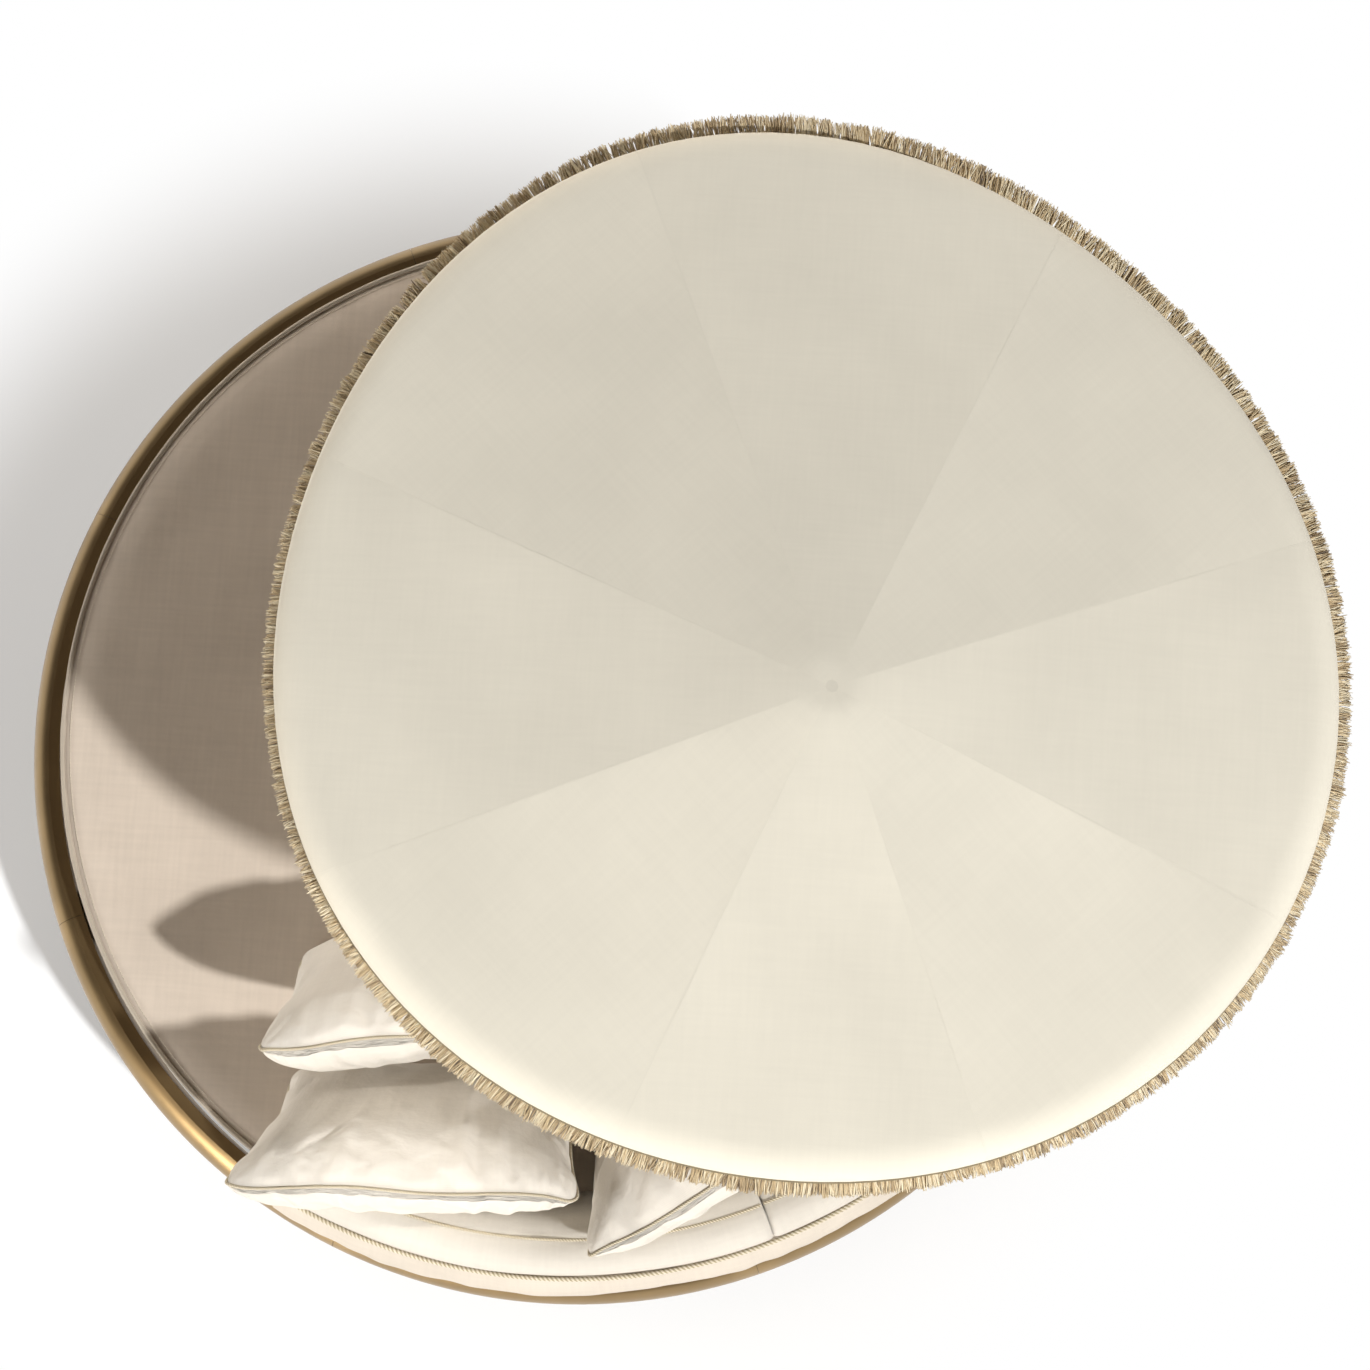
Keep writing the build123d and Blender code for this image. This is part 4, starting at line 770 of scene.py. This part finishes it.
def pillow(number, form, corner, turns, slump, flip, folds, seed):
    """A scatter pillow: its cloth with folds from the seams, and the rope round its border."""
    grid = np.stack([u, v], -1)
    local, parameter = form.copy(), joined(grid, grid)
    if flip:
        local[:, 0] *= -1
        parameter[:, 0] *= -1
    on_front = np.zeros(pillow_points)
    on_front[front] = 1.0
    across, down = parameter[:, 0], (parameter[:, 1] + 1) / 2
    height = np.abs(local[:, 2]) / (PILLOW_THICKNESS / 2)
    sign = np.where(on_front > 0, 1.0, -1.0)
    broad, fine = np.c_[local[:, :2], sign * 0.3], np.c_[local[:, 0], 0.45 * local[:, 1], sign * 0.3]
    lift = 0.0018 * swell(broad, 0.085, seed) * np.clip(height * 2, 0, 1)
    lift += 0.0013 * swell(fine, 0.042, seed + 3) * np.clip(height * 3, 0, 1)
    for place, width, reach, depth, skew in folds:
        for side, shift, share in ((on_front, 0.0, 1.0), (1 - on_front, 0.05, 0.8)):
            line = across - place - shift - skew * down
            body = np.exp(-((line / width) ** 2)) - 0.55 * np.exp(-(((line - 1.6 * width) / width) ** 2))
            fade = np.clip(down / 0.05, 0, 1) * np.exp(-((down / reach / share) ** 2))
            lift += FOLD_DEPTH * depth * share * body * fade * side
    local[:, 2] += sign * lift
    rim = np.abs(parameter).max(1) ** 10
    local[:, 1] += 0.0035 * swell(parameter[:, :1], 0.28, seed + 7) * rim
    local[:, 2] += 0.0045 * swell(parameter, 0.34, seed + 8) * rim
    local[:, 0] += slump * (local[:, 1] / PILLOW_DEPTH + 0.5)
    centre, axes = pillow_frame(corner, *turns)
    points = pressed(centre + local @ axes)
    faces = pillow_faces[:, ::-1] if flip else pillow_faces
    piece = mesh_piece(f"scatter_pillow_{number}", points, faces, linen_white, BASE)
    store(piece, "cloth", np.c_[parameter * (0.35, 0.25), sign * 0.7 + number])
    configured(piece.modifiers.new("finer", "SUBSURF"), levels=1, render_levels=1)
    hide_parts(f"pillow_{number}")
    loop = np.concatenate([front[0, :-1], front[:-1, -1], front[-1, :0:-1], front[:0:-1, 0]])
    border = points[loop]
    border = border + unit(border - centre) * 0.002
    for _ in range(2):
        border = (np.roll(border, 1, 0) + 2 * border + np.roll(border, -1, 0)) / 4
    edge = rope(f"pillow_rope_{number}", border, 0.0031, 0.0105, True, axes[2])


forms = [blown_form(61), blown_form(62)]
# Each fold: place along the upper seam, width, length, depth and slant
top_folds = [
    (-0.7, 0.05, 0.3, 0.003, 0.14),
    (-0.47, 0.06, 0.5, 0.003, 0.07),
    (-0.25, 0.034, 0.3, 0.006, 0.03),
    (-0.06, 0.05, 0.42, 0.0028, 0.00),
    (0.24, 0.038, 0.34, 0.0085, -0.02),
    (0.42, 0.032, 0.24, 0.007, -0.05),
    (0.59, 0.022, 0.12, 0.004, -0.04),
    (0.69, 0.02, 0.1, 0.004, -0.06),
    (0.84, 0.03, 0.22, 0.003, -0.12),
]
light_folds = [
    (-0.62, 0.05, 0.22, 0.0035, 0.12),
    (-0.33, 0.04, 0.34, 0.0045, 0.05),
    (0.02, 0.05, 0.26, 0.0035, 0.00),
    (0.2, 0.03, 0.16, 0.005, -0.02),
    (0.52, 0.05, 0.3, 0.004, -0.08),
]
pillow(1, forms[0], (-0.5761, -0.9318, 0.8831), (2.0, -1.5, 62.0), 0.045, False, top_folds, 71)
pillow(2, forms[1], (-0.531, -0.6863, 0.8824), (9.0, 0.0, 64.0), 0.012, False, light_folds, 72)
pillow(3, forms[1], (0.0965, -1.0141, 0.8049), (32.0, 16.0, 60.0), -0.03, True, light_folds, 73)
pillow(4, forms[0], (0.6505, 0.7305, 0.8746), (158.0, 0.0, 62.0), 0.01, True, light_folds, 74)


# ---- canopy
def rim_reach(turn):
    """Distance from the hub to the canopy's edge on a bearing."""
    shares = np.stack([RIB_REACH, GORE_REACH], 1).ravel()
    waves = np.fft.rfft(shares) / (2 * GORES)
    place = np.asarray(turn) - HALF_GORE
    total = waves[0].real + np.zeros_like(place)
    for order in range(1, 6):
        total = total + 2 * (waves[order] * np.exp(1j * order * place)).real
    return CANOPY_RADIUS * total


def canopy_surface(turn, share):
    """Points of the cover: share is 0 at the apex, 1 where the roll starts, 2 at the edge, 3 at the hem."""
    turn, share = np.broadcast_arrays(turn, share)
    reach = rim_reach(turn)
    shoulder = reach - ROLL_INSET
    slope = (CANOPY_TOP - CANOPY_RIM) / shoulder
    bend = np.clip(share - 1, 0, 1) * pi / 2
    across = np.sin(bend) ** (2 / ROLL_POWER)
    radius = np.where(share > 1, shoulder + ROLL_INSET * across, shoulder * share)
    to_middle = np.abs((turn - HALF_GORE) % GORE_ARC - HALF_GORE)
    flat_share = np.cos(to_middle) / cos(HALF_GORE)
    fade = np.clip((0.97 - radius / shoulder) / 0.45, 0, 1)
    fade = fade * fade * (3 - 2 * fade)
    cap = 0.052 * shoulder
    down = slope * (np.maximum(radius - cap, 0) * shoulder / (shoulder - cap))
    height = CANOPY_TOP - down * (1 + fade * (flat_share - 1))
    edge_drop = CANOPY_RIM - slope * ROLL_INSET - HOOP_HEIGHT
    height = height - edge_drop * (1 - np.cos(bend) ** (2 / ROLL_POWER))
    hang = np.clip(share - 2, 0, 1)
    height = np.where(share > 2, HOOP_HEIGHT - (HOOP_HEIGHT - HEM_HEIGHT) * hang, height)
    radius = np.where(share > 2, reach - 0.002 * hang, radius)
    return polar(radius, turn, height, HUB)


def canopy():
    """The stretched cover of eight gores, rolled over the hoop, with its hem turned up inside."""
    offsets = np.array([0, 0.006, 0.014, 0.028, 0.05, 0.085, 0.13, 0.18, 0.24, 0.3, 0.37, 0.44, 0.5])
    offsets = np.r_[offsets, 1 - offsets[-2:0:-1]]
    turn = np.concatenate([(HALF_GORE + GORE_ARC * (gore + offsets)) for gore in range(GORES)])
    slope_shares = np.r_[0.012, 0.03, 0.05, 0.07, np.linspace(0.1, 1.0, 46)]
    shares = np.r_[slope_shares, 1 + np.linspace(0.05, 1.0, 24), 2.35, 2.7, 3.0]
    points = canopy_surface(turn, shares[:, None])
    top = points[:12, :, 2].copy()
    for _ in range(3):
        top[1:-1] = (top[:-2] + 2 * top[1:-1] + top[2:]) / 4
    points[:12, :, 2] = np.maximum(top, points[:12, :, 2])
    reach = rim_reach(turn)
    hem_steps = ((0.0045, 0.0), (0.0065, 0.003), (0.0065, 0.01), (0.0062, 0.018))
    hem = [polar(reach - inward, turn, HEM_HEIGHT - 0.001 + rise, HUB) for inward, rise in hem_steps]
    points = np.concatenate([points, np.array(hem)])
    rows, columns = points.shape[:2]
    cap = fan_faces(rows * columns, np.arange(columns))
    faces = np.vstack([grid_faces(rows, columns), cap])[:, ::-1]
    every = np.vstack([points.reshape(-1, 3), [[HUB[0], HUB[1], CANOPY_TOP]]])
    piece = mesh_piece("canopy_cloth", every, faces, canvas, CANOPY)
    lengths = np.linalg.norm(np.diff(points, axis=0), axis=2)
    run = np.concatenate([np.zeros((1, columns)), np.cumsum(lengths, 0)])
    gore = np.floor((turn - HALF_GORE) / GORE_ARC + 1e-6) % GORES
    across = (turn - HALF_GORE) % GORE_ARC - HALF_GORE
    cloth = np.stack([run * np.sin(across), run * np.cos(across), np.broadcast_to(gore * 0.6, run.shape)], -1)
    store(piece, "cloth", np.vstack([cloth.reshape(-1, 3), [[0, 0, 0]]]))
    configured(piece.modifiers.new("thickness", "SOLIDIFY"), thickness=0.0012, offset=-1)
    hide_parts("canopy_cover")
    return piece


def gore_stitching():
    """Two rows of threads along each gore seam."""
    share = np.linspace(0.09, 2.9, 500)
    for number in range(2 * GORES):
        bearing = HALF_GORE + GORE_ARC * (number // 2)
        side = 1 if number % 2 == 0 else -1
        radius = rim_reach(bearing) * np.clip(share, 0.09, 1)
        line = canopy_surface(bearing + side * 0.0035 / radius, share)
        normal = np.cross(directions(line, False), (-sin(bearing), cos(bearing), 0))
        path = line + unit(normal) * 0.0002
        piece = stitches(f"gore_stitch_{number + 1}", path, normal, False, CANOPY, radius=0.0005)


canopy_cloth = canopy()
gore_stitching()


# ---- fringe
def fringe_tape():
    """The tape under the hem that the straw hangs from; its dark olive is partly its own colour and partly
    painted shade for the gap between hem and straw.
    """
    section_points = [(0.0005, 1.4785), (0.0024, 1.4775), (0.0032, 1.4745), (0.0034, 1.47)]
    section_points += [(0.0026, 1.4665), (0.0002, 1.4655), (-0.0012, 1.4675), (-0.0012, 1.477)]
    turn = np.linspace(0, tau, 1200, endpoint=False)
    reach = rim_reach(turn)
    points = np.stack([polar(reach + out, turn, height, HUB) for out, height in section_points], 1)
    faces = grid_faces(len(turn), len(section_points), True)
    piece = mesh_piece("fringe_tape", points, faces, tape_olive, CANOPY)
    return piece


# How much of the straw shows, in millimetres, on bearings in degrees, seen from 6.4 m above a point
SHOWN_BEARINGS = [0, 25, 50, 80, 105, 135, 165, 195, 225, 260, 290, 325, 345, 360]
SHOWN = [22, 28, 35, 41, 39, 28, 18, 18, 27, 25, 19, 18, 20, 22]
SHOWN_FROM = (0.325, -1.082, 0)
SHOWN_HEIGHT = 6.4


def fringe_strands():
    """Straw in bunches and tufts, drooping more where less of it shows from above, with painted shade in its
    tones.
    """
    count, bunches, tufts, stations = 14500, 420, 1500, 5
    draw = np.random.default_rng(91)
    place = (np.arange(count) + draw.uniform(-0.5, 0.5, count)) / count
    bunch = np.floor(place * bunches).astype(int) % bunches
    tuft = np.floor(place * tufts).astype(int) % tufts
    bunch_middle = (bunch + 0.5 + 0.18 * draw.normal(size=bunches)[bunch]) / bunches
    turn = place * tau
    reach = rim_reach(turn)
    shown = np.interp(np.degrees(turn) % 360, SHOWN_BEARINGS, SHOWN) * 0.001
    level = draw.uniform(-1, 1, count)
    root = polar(reach - 0.0005, turn, 1.4732 - 0.003 * level, HUB)
    mean_length = np.maximum(0.036, shown * 1.12)
    spread = 0.05 * draw.normal(size=count) + 0.035 * draw.normal(size=bunches)[bunch]
    length = mean_length * (1 + spread).clip(0.85, 1.1)
    overhang = ((root - SHOWN_FROM) * polar(1.0, turn, 0.0))[:, :2].sum(1) / SHOWN_HEIGHT
    tilts = np.linspace(0.05, 1.25, 60)
    seen = np.cos(tilts) - overhang[:, None] * np.sin(tilts)[None]
    droop = tilts[np.abs(seen - (shown / mean_length)[:, None]).argmin(1)]
    droop = droop + 0.1 * (level + 0.1)
    droop = droop + 0.06 * draw.normal(size=count) + 0.04 * draw.normal(size=bunches)[bunch]
    gather = (bunch_middle - place) * tau * reach / 0.036
    swing = 0.22 * gather + 0.1 * draw.normal(size=count) + 0.13 * draw.normal(size=tufts)[tuft]
    swing = np.where(draw.uniform(size=count) < 0.05, swing * 2.2, swing)
    curl = 0.22 * draw.normal(size=count)
    line = np.zeros((count, stations, 3))
    line[:, 0] = root
    for index in range(1, stations):
        share = (index - 0.5) / (stations - 1)
        out = polar(1.0, turn + swing + curl * (share - 0.3), 0.0)
        angle = droop * (0.62 + 0.62 * share)
        step = out * np.cos(angle)[:, None] - UP * np.sin(angle)[:, None]
        line[:, index] = line[:, index - 1] + step * (length / (stations - 1))[:, None]
    side = unit(np.stack([-np.sin(turn), np.cos(turn), 0.35 * draw.normal(size=count)], 1))
    width = 0.00112 * (1 + 0.25 * draw.normal(size=count)).clip(0.5, 1.6)
    width = (width[:, None] * np.array([0.9, 1.0, 1.05, 1.0, 0.65]))[..., None]
    corners = [(1.0, 0.0), (-0.3, 0.75), (-0.7, -0.65)]
    verts = np.stack([line + side[:, None] * (width * a) + UP * (width * b) for a, b in corners], 2)
    tone = 0.825 + 0.14 * draw.normal(size=count) + 0.12 * draw.normal(size=tufts)[tuft]
    # Painted shade: strands at the edges of a bunch, towards the gaps between bunches, are darker.
    tone = tone - 0.16 * (np.abs(gather) > 0.19) * draw.uniform(0.3, 1.0, count)
    tone = np.where(draw.uniform(size=tufts)[tuft] < 0.1, tone - 0.25, tone)
    # Painted shade: strands rooted lower, under the others, are darker.
    tone = tone - 0.16 * (level > 0.3)
    # Painted shade: each strand is darker at its root under the hem and a little lighter towards its tip.
    along = np.array([-0.24, -0.04, 0.0, 0.02, 0.03])
    tones = np.repeat(tone[:, None] + along, 3, 1).clip(0.02, 1.0)
    half = count // 2
    faces = grid_faces(stations, 3) + 3 * stations * np.arange(half)[:, None, None]
    pieces = []
    for part in range(2):
        chosen = slice(part * half, (part + 1) * half)
        name = f"straw_fringe_{part + 1}"
        piece = mesh_piece(name, verts[chosen], faces.reshape(-1, 4), straw_look, CANOPY)
        store(piece, "tone", tones[chosen].reshape(-1))
        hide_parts("canopy_fringe")
        pieces.append(piece)
    return pieces


tape = fringe_tape()
strands = fringe_strands()


# ---- floor, lamps and camera
def floor():
    """A pale floor with painted light: a glow that lifts its shadows near the daybed, and paper white away
    from it that paints out the shadows there; darker in the light that it sends back.
    """
    size = 60.0
    corners = [(-size, -size, 0), (size, -size, 0), (size, size, 0), (-size, size, 0)]
    white = (1, 1, 1)
    look = Look("studio_floor", 0.95, Specular_IOR_Level=0.0, Base_Color=(0.38, 0.34, 0.3, 1))
    place = look.place()
    tone = look.mix(look.noise(place, 0.7, 3.0), (0.73, 0.745, 0.765), (0.74, 0.755, 0.775))
    matt = look.node("BsdfDiffuse", {"Color": tone})
    # Painted light: an even emission that makes the floor's shadows beside the daybed paler.
    glow = look.node("Emission", {"Color": white, "Strength": 0.24})
    near = look.node("AddShader", {0: matt.outputs[0], 1: glow.outputs[0]})
    paper = look.node("Emission", {"Color": white, "Strength": 1.0})
    # Painted light: away from the daybed the floor blends into plain white, which paints out the shadows that
    # fall there.
    moved = look.node("VectorMath", {0: place, 1: (0.205, 0.055, 0)}, operation="ADD").outputs[0]
    reach = look.node("VectorMath", {0: moved}, operation="LENGTH").outputs["Value"]
    blend = {"Value": reach, "From Min": 1.12, "From Max": 1.6}
    away = look.node("MapRange", blend, interpolation_type="SMOOTHSTEP").outputs[0]
    seen = look.node("MixShader", {0: away, 1: near.outputs[0], 2: paper.outputs[0]})
    path = look.node("LightPath").outputs
    direct = look.maths("ADD", path["Is Camera Ray"], path["Is Glossy Ray"])
    direct = look.maths("ADD", direct, path["Is Transmission Ray"])
    both = look.node("MixShader", {0: direct, 1: look.shader.outputs[0], 2: seen.outputs[0]})
    look.tree.links.new(both.outputs[0], look.tree.nodes["Material Output"].inputs["Surface"])
    piece = mesh_piece("studio_floor", corners, [(0, 1, 2, 3)], look.material, None)


floor()

scene.world = configured(bpy.data.worlds.new("studio"), use_nodes=True)
nodes, links = scene.world.node_tree.nodes, scene.world.node_tree.links
ambient, paper = nodes["Background"], nodes.new("ShaderNodeBackground")
for node, colour, strength in ((ambient, (1.0, 0.87, 0.75, 1), 0.09), (paper, (1, 1, 1, 1), 1.0)):
    node.inputs["Color"].default_value = colour
    node.inputs["Strength"].default_value = strength
world_mix = nodes.new("ShaderNodeMixShader")
links.new(nodes.new("ShaderNodeLightPath").outputs["Is Camera Ray"], world_mix.inputs[0])
links.new(ambient.outputs[0], world_mix.inputs[1])
links.new(paper.outputs[0], world_mix.inputs[2])
links.new(world_mix.outputs[0], nodes["World Output"].inputs["Surface"])


def lamp(name, kind, place, aim, energy, mirrored, **settings):
    """A lamp that shines from a place to an aim; mirrored says whether it shows in reflections."""
    data = configured(bpy.data.lights.new(name, kind), energy=energy, **settings)
    made = configured(placed(name, data), location=place, rotation_mode="QUATERNION", visible_glossy=mirrored)
    made.rotation_quaternion = (Vector(aim) - Vector(place)).to_track_quat("-Z", "Y")


def window_place(bearing, rise):
    """A place 8.5 m from the hub, at a bearing and a rise in degrees."""
    bearing, rise = radians(bearing), radians(rise)
    return Vector(HUB) + Vector((cos(bearing), sin(bearing), tan(rise))) * 8.5


sun_bearing, sun_rise = radians(-40.5), radians(49)
sun_level = cos(sun_rise)
sun_way = (cos(sun_bearing) * sun_level, sin(sun_bearing) * sun_level, sin(sun_rise))
sun_disc = {"angle": radians(2.6), "color": (1.0, 0.99, 0.97)}
lamp("key_sun", "SUN", Vector(sun_way) * 10, (0, 0, 0), 2.98, True, **sun_disc)
warm = (1.0, 0.96, 0.9)
for name, place, aim, energy, size, colour, mirrored in (
    ("low_window", window_place(-125, 7), (0.4, 0.0, 1.2), 540.0, 4.5, warm, True),
    ("side_window", window_place(-50, 6), (0.4, 0.0, 1.3), 220.0, 4.5, (1.0, 0.98, 0.95), False),
    ("left_fill", (-7.0, 0.8, 1.5), (0.4, 0.0, 1.5), 165.0, 3.0, warm, False),
    ("north_fill", (-0.8, 4.2, 0.95), (-0.4, -0.8, 0.6), 118.0, 1.8, (1.0, 0.93, 0.84), False),
):
    lamp(name, "AREA", place, aim, energy, mirrored, shape="DISK", size=size, color=colour)
spot = {"spot_size": radians(11.5), "spot_blend": 1.0, "shadow_soft_size": 0.12, "color": (1.0, 0.95, 0.88)}
lamp("pillow_light", "SPOT", (-1.1, -0.15, 3.4), (-0.22, -0.85, 0.76), 150.0, False, **spot)

lens = configured(bpy.data.cameras.new("camera"), sensor_width=36.0, lens=100.06, clip_end=200.0)
camera = placed("camera", lens)
camera_place = Vector((0.324859, -1.081999, 7.867563))
camera_aim = Vector((0.202764, 0.123409, 0.43))
camera_roll = -0.064
forward = (camera_aim - camera_place).normalized()
right = forward.cross(Vector((sin(camera_roll), cos(camera_roll), 0))).normalized()
turned = Matrix((right, right.cross(forward), -forward)).transposed()
camera.matrix_world = Matrix.Translation(camera_place) @ turned.to_4x4()
scene.camera = camera
scene.view_settings.view_transform = "Standard"
